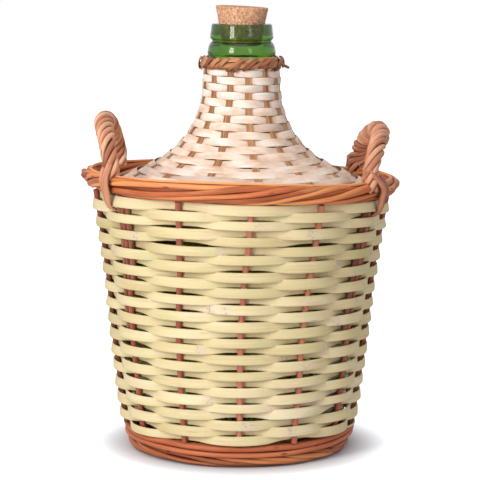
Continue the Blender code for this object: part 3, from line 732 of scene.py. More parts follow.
def handle_stakes(side):
    """The stakes that the front and the rear foot of this side's handle stand at."""
    azimuths = (HANDLE_FRONT_AZIMUTH, HANDLE_REAR_AZIMUTHS[side > 0])
    return [round((side * azimuth - FRONT_STAKE_AZIMUTH) / STAKE_TURN) for azimuth in azimuths]


def cane_swing(place):
    """How far a cane passes from the stakes' ring, which is more where a handle's legs stand."""
    number = CANE_START_STAKE + place
    low = math.floor(number)
    held = [stake % STAKE_COUNT for stake in handle_stakes(-1) + handle_stakes(1)]
    near, far = (
        CANE_HANDLE_SWING if stake % STAKE_COUNT in held else CANE_SWING for stake in (low, low + 1)
    )
    return near + (far - near) * smooth(0, 1, number - low)


def cane_strand(cane, draw):
    """A split cane, wider where it shows outside a stake, with its nodes marked."""
    strand = Strand(half_round(14, 0.5), cane + 1, draw.random())
    node_phase = draw.random()
    count = CANE_STEPS * CANE_SAMPLES_A_STAKE
    for sample in range(count + 1):
        place = cane * CANE_STEPS + sample / CANE_SAMPLES_A_STAKE
        side = weave(place, CANE_FULLNESS)
        middle = CANE_START + place / STAKE_COUNT * CANE_PITCH + CANE_WIDTH / 2
        outer, inner = smooth(-0.45, 0.35, side), smooth(0, 1, -side)
        width = CANE_CROSS_WIDTH + (CANE_OUTER_WIDTH - CANE_CROSS_WIDTH) * outer
        width += (CANE_INNER_WIDTH - CANE_CROSS_WIDTH) * inner
        vary = wander(place * 0.11, cane + 31, 0.12) + wander(place * 0.45, cane + 3, 0.07)
        width *= 1 + vary * (0.4 + 0.6 * outer)
        middle += wander(place * 0.27, 1 + cane * 0.37, 0.0013) + CANE_INNER_LIFT * inner
        bottom = max(middle - width / 2, WALL_LOW + 0.0004)
        top = min(middle + width / 2, WALL_TOP + 0.0020)
        width = max(top - bottom, CANE_TIP_WIDTH)
        height = (top + bottom) / 2
        azimuth = stake_azimuth(CANE_START_STAKE + place, height)
        radius = wall_ring(height)
        radius += side * (cane_swing(place) * (1 + wander(place * 0.8, cane + 11, 0.08)))
        tilt = CANE_TILT + wander(place * 0.6, cane + 23, 0.14)
        run = place * TAU * radius / STAKE_COUNT / NODE_SPACING + node_phase
        away = abs(run % 1 - 0.5) * NODE_SPACING
        strand.add(
            basket_spot(radius, azimuth, height),
            outward(azimuth) + Vector((0, 0, tilt)),
            width * (CANE_END_SHARE if sample in (0, count) else 1),
            CANE_FACE_THICKNESS * (1 + wander(place * 0.5, cane + 7, 0.12)),
            # painted shade, a little darker where the cane passes behind a stake
            0.04 * inner,
            max(0, 1 - away / NODE_REACH),
        )
    return strand


def lay_stake(strand, number, aside, bottom, seed, tip=(1, 1), shade=0):
    """Lays a strand as a stake, or as a leg aside of one, from this height up to the rim."""
    for step in range(STAKE_SAMPLES + 1):
        height = bottom + (WALL_TOP - bottom) * step / STAKE_SAMPLES
        radius = wall_ring(height) + wander(height * 20, seed + 0.4, 0.0004)
        azimuth = stake_azimuth(number, height) + wander(height * 24, seed, 0.006)
        azimuth += aside / radius
        width = 2 * STAKE_RADIUS * (1.06 + wander(height * 50, seed + 0.8, 0.08))
        width *= tip[step] if step < len(tip) else 1
        strand.add(basket_spot(radius, azimuth, height), outward(azimuth), width, shade=shade)


def add_wall():
    draw = random.Random(11)
    for cane in range(CANE_COUNT):
        name = f"wall_cane_{cane + 1}"
        sweep(f"{name}_split", [cane_strand(cane, draw)], "cane", name)
    for number in range(STAKE_COUNT):
        name = f"wall_stake_{number + 1:02d}"
        strand = Strand(circle(12), 40 + number, draw.random())
        lay_stake(strand, number, 0, WALL_LOW, number + 41)
        sweep(f"{name}_rod", [strand], "stake", name)


# Borders


def oval(share, half_width, half_height):
    return Vector((half_width * math.sin(TAU * share), half_height * math.cos(TAU * share)))


def stadium(share, half_width, half_height):
    """A point this share of the way round an upright oval with straight sides, from its top."""
    straight = 2 * (half_height - half_width)
    bend = math.pi * half_width
    whole = 2 * (straight + bend)
    way = (share * whole + straight + bend / 2) % whole
    turned_over = way >= straight + bend
    way -= (straight + bend) * turned_over
    if way < straight:
        point = Vector((half_width, way - straight / 2))
    else:
        angle = (way - straight) / half_width
        point = Vector(
            (half_width * math.cos(angle), straight / 2 + half_width * math.sin(angle))
        )
    return -point if turned_over else point


def lay_border(strand, radius, share, turns, ring, low, size, loop=oval, lean_out=0, sway=0):
    """Lays a strand once round as one rod of a border's rope, a little uneven."""
    half_width, half_height = size[0] / 2 - radius, size[1] / 2 - radius
    for step, azimuth in enumerate(once_round(BORDER_SAMPLES)):
        place = share + step / BORDER_SAMPLES * turns + wander_round(azimuth, strand.seed, 0.060, 1.8)
        place += sway * math.sin(3 * azimuth - math.pi / 2)
        aside, up = loop(place, half_width, half_height)
        leaning = lean_out * (up / half_height) / 2
        up += wander_round(azimuth, strand.seed + 0.3, 0.0009, 2.6)
        reach = ring + aside + leaning + wander_round(azimuth, strand.seed + 0.5, 0.0007, 2.2)
        height = max(low + size[1] / 2 + up, low + radius)
        width = 2 * radius * (1 + wander_round(azimuth, strand.seed + 0.7, 0.08, 2.0))
        strand.add(basket_spot(reach, azimuth, height), outward(azimuth), width)
    return strand


def border_rope(draw, seed, radii, turns, *course):
    """The strands of a border's rope, spread evenly round its section."""
    strands = []
    for number in range(BORDER_STRANDS):
        radius = draw.uniform(*radii)
        strand = Strand(circle(12), seed + number, draw.random())
        strands.append(lay_border(strand, radius, number / BORDER_STRANDS, turns, *course))
    return strands


def add_foot(draw):
    """The foot: four rods side by side over a rope of seven."""
    ring = wall_ring(WALL_LOW) - FOOT_INSET - FOOT_LEAN / 2
    upper = []
    for number, (out, height, radius) in enumerate(FOOT_TOP_RODS):
        size = (2 * radius + FOOT_TOP_PLAY,) * 2
        strand = Strand(circle(12), 70 + number, draw.random())
        low = height - size[1] / 2
        upper.append(lay_border(strand, radius, 0, FOOT_TOP_TURNS, ring + out, low, size))
    sweep("foot_rod_1_bark", upper, "foot_top", "foot_rod_1")
    course = (ring - FOOT_ROPE_INSET, 0, FOOT_ROPE_SIZE, oval, FOOT_ROPE_LEAN, FOOT_SWAY)
    lower = border_rope(draw, 75, FOOT_STRAND_RADII, FOOT_TURNS, *course)
    sweep("foot_rod_2_bark", lower, "foot", "foot_rod_2")


def add_rim(draw):
    """The rim: a rope of seven, with its edging, its curled ends and the rods inside it."""
    ring = wall_ring(WALL_TOP) + RIM_OUTSET + RIM_LEAN / 2
    course = (ring, RIM_LOW, RIM_ROPE_SIZE, stadium, RIM_LEAN, RIM_SWAY)
    strands = border_rope(draw, 81, RIM_STRAND_RADII, RIM_TURNS, *course)
    extras = [edging_strand(ring), *curled_strands(ring, draw), rim_core(ring)]
    sweep("rim_rod_1_bark", strands[0::3] + extras, "rim", "rim_rod_1")
    sweep("rim_rod_2_bark", strands[1::3], "rim", "rim_rod_2")
    sweep("rim_rod_3_bark", strands[2::3], "rim", "rim_rod_3")


def edging_strand(ring):
    """The thin pale rod along the rim's upper edge."""
    strand = Strand(circle(10), 97, 1.4)
    for azimuth in once_round(BORDER_SAMPLES):
        reach = ring + EDGING_OUTSET + wander_round(azimuth, 95, 0.0016, 2.0)
        height = RIM_TOP - EDGING_DROP + wander_round(azimuth, 96, 0.0012, 2.4)
        place = basket_spot(reach, azimuth, height)
        strand.add(place, outward(azimuth), EDGING_WIDTH, EDGING_THICKNESS)
    return strand


def curled_strands(ring, draw):
    """The ends of rods that come out of the rim's sides and bend back into it."""
    for middle in CURL_AZIMUTHS:
        radius = draw.uniform(*CURL_RADII)
        rise = draw.uniform(*CURL_RISES)
        span = draw.uniform(*CURL_SPANS)
        strand = Strand(circle(10), 98 + middle, draw.random())
        for step in range(25):
            share = step / 24
            azimuth = middle + (share - 0.5) * 2 * span
            arch = math.sin(math.pi * share)
            reach = ring + CURL_OUTSET + (CURL_BULGE + rise * 0.2) * arch
            height = RIM_LOW + RIM_HEIGHT * (0.35 + 0.30 * share) + rise * arch
            place = basket_spot(reach, azimuth, height)
            strand.add(place, outward(azimuth), 2 * radius, shade=CURL_SHADE)
        yield strand


def rim_core(ring):
    """The rods inside the rim, which show only as darkness between the outer ones; painted shade darkens
    their colour.
    """
    strand = Strand(circle(12), 96, 0.35)
    for azimuth in once_round(120):
        out = outward(azimuth) + Vector((0, 0, -RIM_LEAN / RIM_HEIGHT))
        place = basket_spot(ring, azimuth, RIM_LOW + RIM_HEIGHT / 2)
        strand.add(place, out, *RIM_CORE_SIZE, RIM_CORE_SHADE)
    return strand


# Hood


def hood_stand():
    """How far the hood's face stands off the neck, so that its slanting strips clear the stakes."""
    step = NECK_TOP_RADIUS * HOOD_TURN
    reach = HOOD_STRIP_THICKNESS / 2 + GAP
    lift = HOOD_STAKE_THICKNESS / 2
    out = lift + reach
    for _ in range(6):
        slant = HOOD_TURN / 2 + math.atan(2 * out / step)
        out = lift + reach / math.cos(slant) + HOOD_STAKE_TOP_WIDTH / 2 * math.tan(slant)
    return HOOD_ROOM + HOOD_STRIP_THICKNESS / 2 + out


HOOD_STAND = hood_stand()
HOOD_ARC = NECK_FLARE_RADIUS - HOOD_STAND
HOOD_BEND = math.pi / 2 - SHOULDER_ANGLE
HOOD_REACH = wall_ring(WALL_TOP) + RIM_OUTSET - RIM_WIDTH / 2 - HOOD_RIM_ROOM
HOOD_SKIRT_LENGTH = (
    HOOD_REACH - FLARE_CENTRE_RADIUS + HOOD_ARC * math.cos(HOOD_BEND)
) / math.sin(HOOD_BEND)
HOOD_LENGTH = HOOD_NECK_LENGTH + HOOD_ARC * HOOD_BEND + HOOD_SKIRT_LENGTH


def hood_spot(way, out):
    """The radius, height and slope of the hood, this way down from its top and this far out.

    Above its top it runs on straight up.
    """
    if way < HOOD_NECK_LENGTH:
        flare = (NECK_TOP_RADIUS - NECK_RADIUS) / NECK_LENGTH
        up = HOOD_NECK_LENGTH - way
        radius = NECK_RADIUS + HOOD_STAND + flare * min(up, HOOD_NECK_LENGTH)
        return radius + out, FLARE_TOP + up, 0
    way -= HOOD_NECK_LENGTH
    angle = min(way / HOOD_ARC, HOOD_BEND)
    rest = max(way - HOOD_ARC * HOOD_BEND, 0)
    radius = FLARE_CENTRE_RADIUS - (HOOD_ARC - out) * math.cos(angle) + rest * math.sin(angle)
    height = FLARE_TOP - (HOOD_ARC - out) * math.sin(angle) - rest * math.cos(angle)
    return radius, height, angle


def hood_azimuth(number):
    return HOOD_FRONT_AZIMUTH + number * HOOD_TURN


def hood_face(azimuth, angle):
    """Which way the hood's face looks."""
    return outward(azimuth) * math.cos(angle) + Vector((0, 0, math.sin(angle)))


def hood_rib(number, rib, tone):
    """One of the split rods that lie side by side as a stake of the hood."""
    strand = Strand(half_round(8, 0.8), 120 + number * HOOD_RIB_COUNT + rib, tone)
    aside = (rib + 0.5) / HOOD_RIB_COUNT - 0.5
    for step in range(61):
        way = HOOD_RIB_TOP + (HOOD_LENGTH - HOOD_RIB_TOP) * step / 60
        lift = wander(step * 0.2, number * 4 + rib, 0.00015)
        radius, height, angle = hood_spot(way, lift)
        top_width, bottom_width = HOOD_RIB_WIDTHS
        wide = top_width + (bottom_width - top_width) * (way / HOOD_LENGTH)
        shift = aside * wide + wander(step * 0.07, number + 91, 0.0012)
        azimuth = hood_azimuth(number) + shift / radius
        place, face = spot(radius, azimuth, height), hood_face(azimuth, angle)
        strand.add(place, face, wide / HOOD_RIB_COUNT * HOOD_RIB_OVERLAP, HOOD_RIB_THICKNESS)
    return strand


def hood_chip(strip, tone):
    """One run of the split wood that winds down the hood, looser and wider on its slope."""
    strand = Strand(half_round(10, 0.8), 170 + strip, tone)
    start = (NECK_ROD_LAP_COUNT + 1) * (2 * NECK_ROD_RADIUS + GAP) + GAP
    laps = HOOD_STRIP_COUNT * HOOD_STRIP_STEPS / HOOD_STAKE_COUNT
    mean_pitch = (HOOD_LENGTH - start) / (laps + 1)
    growth = 2 * (1 - HOOD_TOP_PITCH_SHARE) / laps
    early = 0 if strip else HOOD_STAKE_COUNT
    for sample in range(-early * HOOD_SAMPLES_A_STAKE, HOOD_STRIP_STEPS * HOOD_SAMPLES_A_STAKE + 1):
        step = strip * HOOD_STRIP_STEPS + sample / HOOD_SAMPLES_A_STAKE
        lap = step / HOOD_STAKE_COUNT
        slope = smooth(0.40, 0.75, max(lap / laps, 0))
        pitch = mean_pitch * (HOOD_TOP_PITCH_SHARE + growth * lap)
        way = start + mean_pitch * lap * (HOOD_TOP_PITCH_SHARE + growth * lap / 2)
        way += pitch / 2 + wander(step * 0.33, strip + 0.3, 0.0004 + 0.0016 * slope)
        side = weave(step, HOOD_FULLNESS)
        out = side * HOOD_SWING + wander(step * 0.7, strip + 9, 0.0002)
        radius, height, angle = hood_spot(max(way, HOOD_CHIP_TOP), out)
        azimuth = hood_azimuth(HOOD_START_STAKE + step)
        lift = wander(step * 0.5, strip + 19, 0.08) - 0.03 - 0.07 * slope
        wide = 1 + 0.03 * max(side, 0) + 0.10 * slope
        wide += wander(step * 0.35, strip + 29, 0.04 + 0.06 * slope)
        shade = 0.10 * max(-side, 0) + max(0, wander(step * 0.16, strip + 37, 0.7) - 0.15)
        place, face = spot(radius, azimuth, height), hood_face(azimuth, angle + lift)
        strand.add(place, face, pitch * wide, HOOD_CHIP_THICKNESS, shade)
    return strand


def add_hood():
    draw = random.Random(5)
    for number in range(HOOD_STAKE_COUNT):
        name = f"hood_stake_{number + 1:02d}"
        strands = [hood_rib(number, rib, draw.random()) for rib in range(HOOD_RIB_COUNT)]
        sweep(f"{name}_ribs", strands, "rib", name)
    for strip in range(HOOD_STRIP_COUNT):
        name = f"hood_strip_{strip + 1}"
        sweep(f"{name}_chip", [hood_chip(strip, draw.random())], "chip", name)


def bark_band(turn, low, out, wide, tilt):
    """A band of flat bark, wound once round the neck."""
    strand = Strand(half_round(10, 0.7), 200 + turn, 0.9 - 0.3 * turn)
    for azimuth in once_round(120):
        way = low + wander_round(azimuth, turn + 51, 0.0014, 2.6)
        lift = out + wander_round(azimuth, turn + 57, 0.0009, 2.4)
        radius, height, _ = hood_spot(way, lift)
        face = hood_face(azimuth, tilt + wander_round(azimuth, turn + 59, 0.50, 3.0))
        width = wide * (1 + wander_round(azimuth, turn + 67, 0.2, 2.6))
        strand.add(spot(radius, azimuth, height), face, width, HOOD_BAND_THICKNESS)
    return strand


def folded_end(number, draw):
    """A stake's end, folded slantwise up over the bands."""
    azimuth = hood_azimuth(number / 2) + draw.uniform(-0.16, 0.12)
    reach = HOOD_TURN * draw.uniform(0.4, 1.2)
    wide = draw.uniform(*HOOD_FOLD_WIDTHS)
    bottom = draw.uniform(*HOOD_FOLD_BOTTOMS)
    strand = Strand(half_round(8, 0.7), 210 + number, 0)
    for step in range(17):
        share = step / 16
        way = bottom * (1 - smooth(0, 1, share)) + 0.0004
        lift = 0.0030 + 0.0038 * math.sin(math.pi * (0.10 + 0.68 * share)) - 0.0016 * share
        radius, height, _ = hood_spot(way, lift)
        turned_to = azimuth + reach * (share**1.2 - 0.15)
        face = outward(turned_to) + Vector((0, 0, 0.9 * share - 0.25))
        width = wide * (0.75 + 0.25 * math.sin(math.pi * share))
        shade = 0.9 * smooth(0.55, 0, share) * draw.uniform(0.6, 1.0)
        strand.add(spot(radius, turned_to, height), face, width, HOOD_FOLD_THICKNESS, shade)
    strand.tone = draw.random()
    return strand


def stub_strand():
    """The cut end of the neck's rod, which stands out at the right."""
    strand = Strand(circle(8), 230, 0.3)
    for step in range(13):
        share = step / 12
        radius = NECK_RADIUS + 0.0068 + 0.0062 * share
        place = spot(radius, STUB_AZIMUTH + 0.42 * share, NECK_TOP - 0.0080 - 0.0048 * share)
        face = outward(STUB_AZIMUTH) + Vector((0, 0, 1))
        # The fifth value is painted shade, which darkens it all along.
        strand.add(place, face, 0.0034, 0.0030, 0.5, smooth(0.80, 1, share))
    return strand


def add_neck_binding():
    """The neck's border: flat bark wound round, with the stakes' ends folded slantwise over it."""
    draw = random.Random(3)
    strands = [bark_band(turn, *band) for turn, band in enumerate(HOOD_BANDS)]
    strands += [folded_end(number, draw) for number in range(2 * HOOD_STAKE_COUNT)]
    sweep("neck_rod_binding", [*strands, stub_strand()], "binding", "neck_rod")


# Handles


def handle_line(side):
    """The middle line of a handle's rope: a half oval that leans out at its top, rooted in the rim."""
    foot_radius = wall_ring(WALL_TOP) + RIM_OUTSET + RIM_LEAN
    low = RIM_TOP + ROPE_LIFT
    rear_azimuth = HANDLE_REAR_AZIMUTHS[side > 0] + HANDLE_REAR_SHIFTS[side > 0]
    front = basket_spot(foot_radius, side * HANDLE_FRONT_AZIMUTH, low)
    rear = basket_spot(foot_radius, side * rear_azimuth, low)
    out = outward(side * (HANDLE_FRONT_AZIMUTH + rear_azimuth) / 2)
    sunk = low - (front.z + rear.z) / 2
    rise = Vector((0, 0, ROPE_RISES[side > 0] + sunk))
    root = Vector((0, 0, -ROOT_DEPTH))
    points = [front + root * (1 - step / ROOT_STEPS) for step in range(ROOT_STEPS)]
    for step in range(ARCH_STEPS + 1):
        angle = math.pi * step / ARCH_STEPS
        share = ((1 - math.cos(angle)) / 2) ** HANDLE_SKEWS[side > 0]
        leaned = out * ROPE_LEANS[side > 0] * max(math.sin(angle), 0) ** ROPE_LEAN_POWERS[side > 0]
        points.append(front.lerp(rear, share) + rise * math.sin(angle) + leaned)
    points += [rear + root * step / ROOT_STEPS for step in range(1, ROOT_STEPS + 1)]
    normal = rise.cross(rear - front).normalized()
    return points, -normal if normal.dot(out) < 0 else normal


def lay_rope(strand, line, normal, number, side, size):
    """Lays a strand as one of a handle's rope, twisted round the rope's middle line."""
    lengths = [0]
    for first, second in zip(line, line[1:]):
        lengths.append(lengths[-1] + (second - first).length)
    place = 0
    for step in range(ROPE_SAMPLES + 1):
        way = lengths[-1] * step / ROPE_SAMPLES
        while place < len(lengths) - 2 and lengths[place + 1] < way:
            place += 1
        share = (way - lengths[place]) / (lengths[place + 1] - lengths[place])
        middle = line[place].lerp(line[place + 1], share)
        across = (line[place + 1] - line[place]).normalized().cross(normal)
        turns = way / ROPE_PITCH + (number + 0.5) / ROPE_STRANDS
        turns += wander(way * 14, number + side * 9 + 310, 0.03)
        done = step / ROPE_SAMPLES
        arch = math.sin(math.pi * done) ** 2 if side < 0 else smooth(0.05, 0.40, done)
        lay = ROPE_LAYS[0] + (ROPE_LAYS[1] - ROPE_LAYS[0]) * arch
        lay *= 1 + wander(way * 30, number + side * 7 + 300, 0.09)
        round_it = normal * math.cos(TAU * turns) + across * math.sin(TAU * turns)
        width = 2 * size * (1 + wander(step * 0.06, number + side * 3 + 320, 0.08))
        strand.add(middle + round_it * lay, normal, width)
    return strand


def add_handle(name, side):
    draw = random.Random(20 + side)
    line, normal = handle_line(side)
    strands = []
    for number in range(ROPE_STRANDS):
        size = ROPE_STRAND_RADIUS * draw.uniform(0.88, 1.10)
        strand = Strand(circle(12), 330 + number + 10 * side, draw.random())
        strands.append(lay_rope(strand, line, normal, number, side, size))
    azimuths = (HANDLE_FRONT_AZIMUTH, HANDLE_REAR_AZIMUTHS[side > 0])
    for stake, foot in zip(handle_stakes(side), azimuths):
        for beside, depth in zip((-1, 1), LEG_DEPTHS):
            aside = beside * (2 * STAKE_RADIUS * 1.04 + GAP)
            strand = Strand(circle(10), 400 + beside + 7 * stake, draw.random())
            seed = 400 + stake * 3 + beside
            lay_stake(strand, stake, aside, WALL_TOP - depth, seed, LEG_TIP, LEG_SHADE)
            strands.append(strand)
        for number in range(2):
            strands.append(wrap_strand(side, side * foot, line, number, draw))
    nodes = [f"{name}_rod_{number}" for number in (1, 2, 3)]
    sweep(f"{name}_rope", strands, "handle", *nodes)


def wrap_strand(side, foot, line, number, draw):
    """A rod from a rope's foot over the rim, down outside it and in under the top cane."""
    ring = wall_ring(WALL_TOP)
    rim = ring + RIM_OUTSET + RIM_WIDTH / 2
    cane = ring + CANE_HANDLE_SWING + CANE_FACE_THICKNESS / 2
    size = draw.uniform(*WRAP_RADII)
    strand = Strand(circle(10), 430 + number + 5 * foot, draw.random())
    near = basket_spot(rim, foot, RIM_TOP + 0.016)
    inside = min(line, key=lambda place: (place - near).length)
    # Each place has its radius, its height, the rod's size there and the left and right turn, in degrees
    keys = (
        (math.hypot(inside.x, inside.y), inside.z + sag(foot, RIM_TOP), 0.9, (0, 0)),
        (rim + RIM_LEAN * 0.5, RIM_TOP + 0.0080, 1, (0, 0.6)),
        (rim + RIM_LEAN + 0.0026, RIM_TOP - 0.0020, 1, (-0.8, 3.0)),
        (rim + RIM_LEAN * 0.8 + 0.0036, RIM_TOP - 0.0100, 1, (-0.8, 4.6)),
        (rim + RIM_LEAN * 0.3 + 0.0034, RIM_LOW + 0.0030, 0.95, (-0.6, 5.0)),
        (cane + 0.0040, WALL_TOP - 0.0050, 0.85, (0.2, 5.6)),
        (cane + 0.0004, WALL_TOP - 0.0115, 0.70, (0.6, 6.4)),
        (ring - 0.0010, WALL_TOP - 0.0160, 0.55, (0.6, 6.4)),
    )
    last = len(keys) - 1
    spots, sizes = [], []
    for place, (radius, height, share, turns) in enumerate(keys):
        close = 1 - 0.75 * place / last
        shift = (WRAP_SPREAD, -WRAP_SPREAD)[number] * (1.15 if place else 0.5) * close
        azimuth = foot + side * math.radians(turns[side > 0] + shift)
        spots.append(basket_spot(radius + WRAP_OFFSET * number, azimuth, height))
        sizes.append(size * share)
    for place in range(last):
        before, after = spots[max(place - 1, 0)], spots[min(place + 2, last)]
        for step in range(WRAP_STEPS + (place == last - 1)):
            share = step / WRAP_STEPS
            point = catmull(before, spots[place], spots[place + 1], after, share)
            flat = Vector((point.x, point.y, 0))
            width = 2 * (sizes[place] + (sizes[place + 1] - sizes[place]) * share)
            strand.add(point, flat.normalized() + Vector((0, 0, 0.6)), width)
    return strand


def catmull(first, second, third, fourth, share):
    """A point on the smooth curve through these four, between the middle two."""
    square, cube = share * share, share * share * share
    return 0.5 * (
        2 * second
        + (third - first) * share
        + (2 * first - 5 * second + 4 * third - fourth) * square
        + (3 * second - first - 3 * third + fourth) * cube
    )


# Bottle, cork and base


def turned(name, profile, segments):
    """A turned mesh, from a closed or capped profile that runs down its outer side."""
    mesh = bpy.data.meshes.new(name)
    verts, faces = [], []
    starts = []
    for radius, height in profile:
        starts.append(len(verts))
        if radius == 0:
            verts.append((0, 0, height))
        else:
            verts += [tuple(spot(radius, TAU * step / segments, height)) for step in range(segments)]
    for row in range(len(profile) - 1):
        upper, lower = starts[row], starts[row + 1]
        for step in range(segments):
            after = (step + 1) % segments
            if profile[row][0] == 0:
                faces.append((upper, lower + step, lower + after))
            elif profile[row + 1][0] == 0:
                faces.append((upper + step, lower, upper + after))
            else:
                faces.append((upper + step, lower + step, lower + after, upper + after))
    mesh.from_pydata(verts, [], faces)
    mesh.update()
    mesh.shade_smooth()
    return mesh


def body_profile(inward):
    """The bottle's profile below its neck, this far inside its outer face."""
    flare_end = math.pi * 3 / 2 - SHOULDER_ANGLE
    shoulder_start = math.pi / 2 - SHOULDER_ANGLE
    flare_centre = (FLARE_CENTRE_RADIUS, FLARE_TOP)
    shoulder_centre = (SHOULDER_CENTRE_RADIUS, SHOULDER_LOW)
    profile = arc(flare_centre, NECK_FLARE_RADIUS + inward, math.pi, flare_end, 24)
    profile += arc(shoulder_centre, SHOULDER_RADIUS - inward, shoulder_start, 0, 10)
    heel_top = BODY_LOW + HEEL_RADIUS
    for step in range(1, 16):
        height = SHOULDER_LOW + (heel_top - SHOULDER_LOW) * step / 16
        profile.append((side_radius(height) - inward, height))
    heel_centre = (side_radius(heel_top) - HEEL_RADIUS, heel_top)
    profile += arc(heel_centre, HEEL_RADIUS - inward, 0, -math.pi / 2, 8)
    for share, depth in ((1, 0), (2 / 3, 5 / 9), (1 / 3, 8 / 9), (0, 1)):
        profile.append((PUNT_RADIUS * share, BODY_LOW + inward + PUNT_DEPTH * depth))
    return profile


def cork_radius(height):
    share = (CORK_TOP - height) / (CORK_TOP - CORK_LOW)
    return CORK_TOP_RADIUS + (CORK_BOTTOM_RADIUS - CORK_TOP_RADIUS) * share


def mouth_outside():
    """The profile of the lip, the groove under it and the bulging collar, down to the neck."""
    edge, groove = LIP_EDGE, GROOVE_HEIGHT / 2
    groove_centre = (GROOVE_FACE_RADIUS + groove, LIP_LOW - groove)
    profile = arc((LIP_TOP_RADIUS - edge, LIP_TOP - edge), edge, math.pi / 2, 0, 6)
    profile += arc((LIP_RADIUS - edge, LIP_LOW + edge), edge, 0, -math.pi / 2, 6)
    profile += arc(groove_centre, groove, math.pi / 2, math.pi * 3 / 2, 8)
    bulge = NECK_TOP + COLLAR_HEIGHT * COLLAR_BULGE_SHARE
    top = LIP_LOW - GROOVE_HEIGHT
    for step in range(1, 11):
        angle = math.pi / 2 * step / 10
        share = 0.6 * math.sin(angle) + 0.4 * step / 10
        radius = GROOVE_FACE_RADIUS + (COLLAR_RADIUS - GROOVE_FACE_RADIUS) * share
        profile.append((radius, bulge + (top - bulge) * math.cos(angle)))
    for step in range(1, 6):
        angle = math.pi / 2 * step / 6
        radius = NECK_TOP_RADIUS + (COLLAR_RADIUS - NECK_TOP_RADIUS) * math.cos(angle)
        profile.append((radius, bulge - (bulge - NECK_TOP) * math.sin(angle)))
    return profile + [(NECK_TOP_RADIUS, NECK_TOP)]


def mouth_inside():
    """The profile of the mouth, which the cork stands in, widening below it to the neck."""
    bore = cork_radius(LIP_TOP) + GAP
    round_edge = LIP_EDGE / 2
    centre = (bore + round_edge, LIP_TOP - round_edge)
    return arc(centre, round_edge, math.pi, math.pi / 2, 4)[::-1] + [
        (bore, LIP_TOP - BORE_MARGIN),
        (bore, NECK_TOP + BORE_MARGIN),
        (bore + 0.0012, NECK_TOP + 0.006),
        (bore + 0.0045, NECK_TOP - 0.004),
        (NECK_RADIUS - GLASS_WALL - 0.0012, NECK_TOP - 0.016),
    ]


def add_bottle():
    inner = mouth_inside() + body_profile(GLASS_WALL)
    outer = mouth_outside() + body_profile(0)
    mesh = turned("glass", inner[::-1] + outer, GLASS_SEGMENTS)
    mesh.set_sharp_from_angle(angle=math.radians(60))
    place_piece("glass_bottle_clear", mesh, "glass", "carafe", "glass_bottle")


def add_cork():
    """The cork, a little rough above the lip, and cut slightly aslant at its top."""
    bevel = CORK_BEVEL
    face = CORK_TOP_RADIUS - bevel
    profile = [(face * share, CORK_TOP) for share in (0, 0.2, 0.4, 0.6, 0.8, 0.92)]
    profile += arc((face, CORK_TOP - bevel), bevel, math.pi / 2, 0.18, 5)
    for step in range(1, CORK_ROWS):
        height = CORK_TOP - bevel + (CORK_LOW + 2 * bevel - CORK_TOP) * step / CORK_ROWS
        profile.append((cork_radius(height), height))
    profile += arc((CORK_BOTTOM_RADIUS - bevel, CORK_LOW + bevel), bevel, 0, -math.pi / 2, 4)
    profile.append((0, CORK_LOW))
    mesh = turned("cork", profile, CORK_SEGMENTS)
    for vert in mesh.vertices:
        rough = sum(noise.noise(vert.co / size) * depth for size, depth in (CORK_GRAIN, CORK_WAVE))
        flat = Vector((vert.co.x, vert.co.y, 0))
        if flat.length > 0 and vert.co.z > LIP_TOP + 0.001:
            push = min(rough, CORK_PROUD_GRAIN)
            vert.co += flat.normalized() * push
            if flat.length < face:
                vert.co.z += push
    for vert in mesh.vertices:
        share = smooth(LIP_TOP, CORK_TOP, vert.co.z)
        vert.co.z -= (vert.co.x + CORK_TOP_RADIUS) * CORK_SLANT_SHARE * share
    place_piece("cork_stopper_grain", mesh, "cork", "stopper", "cork_stopper")


def add_base():
    """The woven base: rings of willow over crossed sticks."""
    draw = random.Random(8)
    low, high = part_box("base_weave")
    reach = high.x - BASE_ROOM
    thick = (reach - BASE_EYE) / BASE_RINGS
    up = Vector((0, 0, 1))
    rings = []
    for ring in range(BASE_RINGS):
        strand = Strand(circle(8), 500 + ring, draw.random())
        radius = BASE_EYE + (reach - BASE_EYE) * (ring + 0.5) / BASE_RINGS
        for step in range(BASE_SAMPLES + 1):
            azimuth = TAU * step / BASE_SAMPLES * 0.998
            wave = BASE_WAVE * math.sin(azimuth * BASE_WAVE_COUNT + math.pi * ring)
            height = (low.z + high.z) / 2 + wave
            strand.add(spot(radius, azimuth, height), up, thick * 0.96, BASE_ROD_THICKNESS)
        rings.append(strand)
    sweep("base_weave_rings", rings, "handle", "base_weave")
    for layer, along in (("lower", Vector((1, 0, 0))), ("upper", Vector((0, 1, 0)))):
        name = f"base_sticks_{layer}"
        low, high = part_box(name)
        half = max(high.x - low.x, high.y - low.y) / 2
        across = Vector((along.y, along.x, 0))
        sticks = []
        for number in (-1, 0, 1):
            stick = Strand(circle(10), 530 + number, draw.random())
            middle = (low + high) / 2 + across * number * BASE_STICK_PITCH
            for step in range(13):
                stick.add(middle + along * half * (step / 6 - 1), up, *BASE_STICK)
            sticks.append(stick)
        sweep(f"{name}_rods", sticks, "handle", name)


# Studio


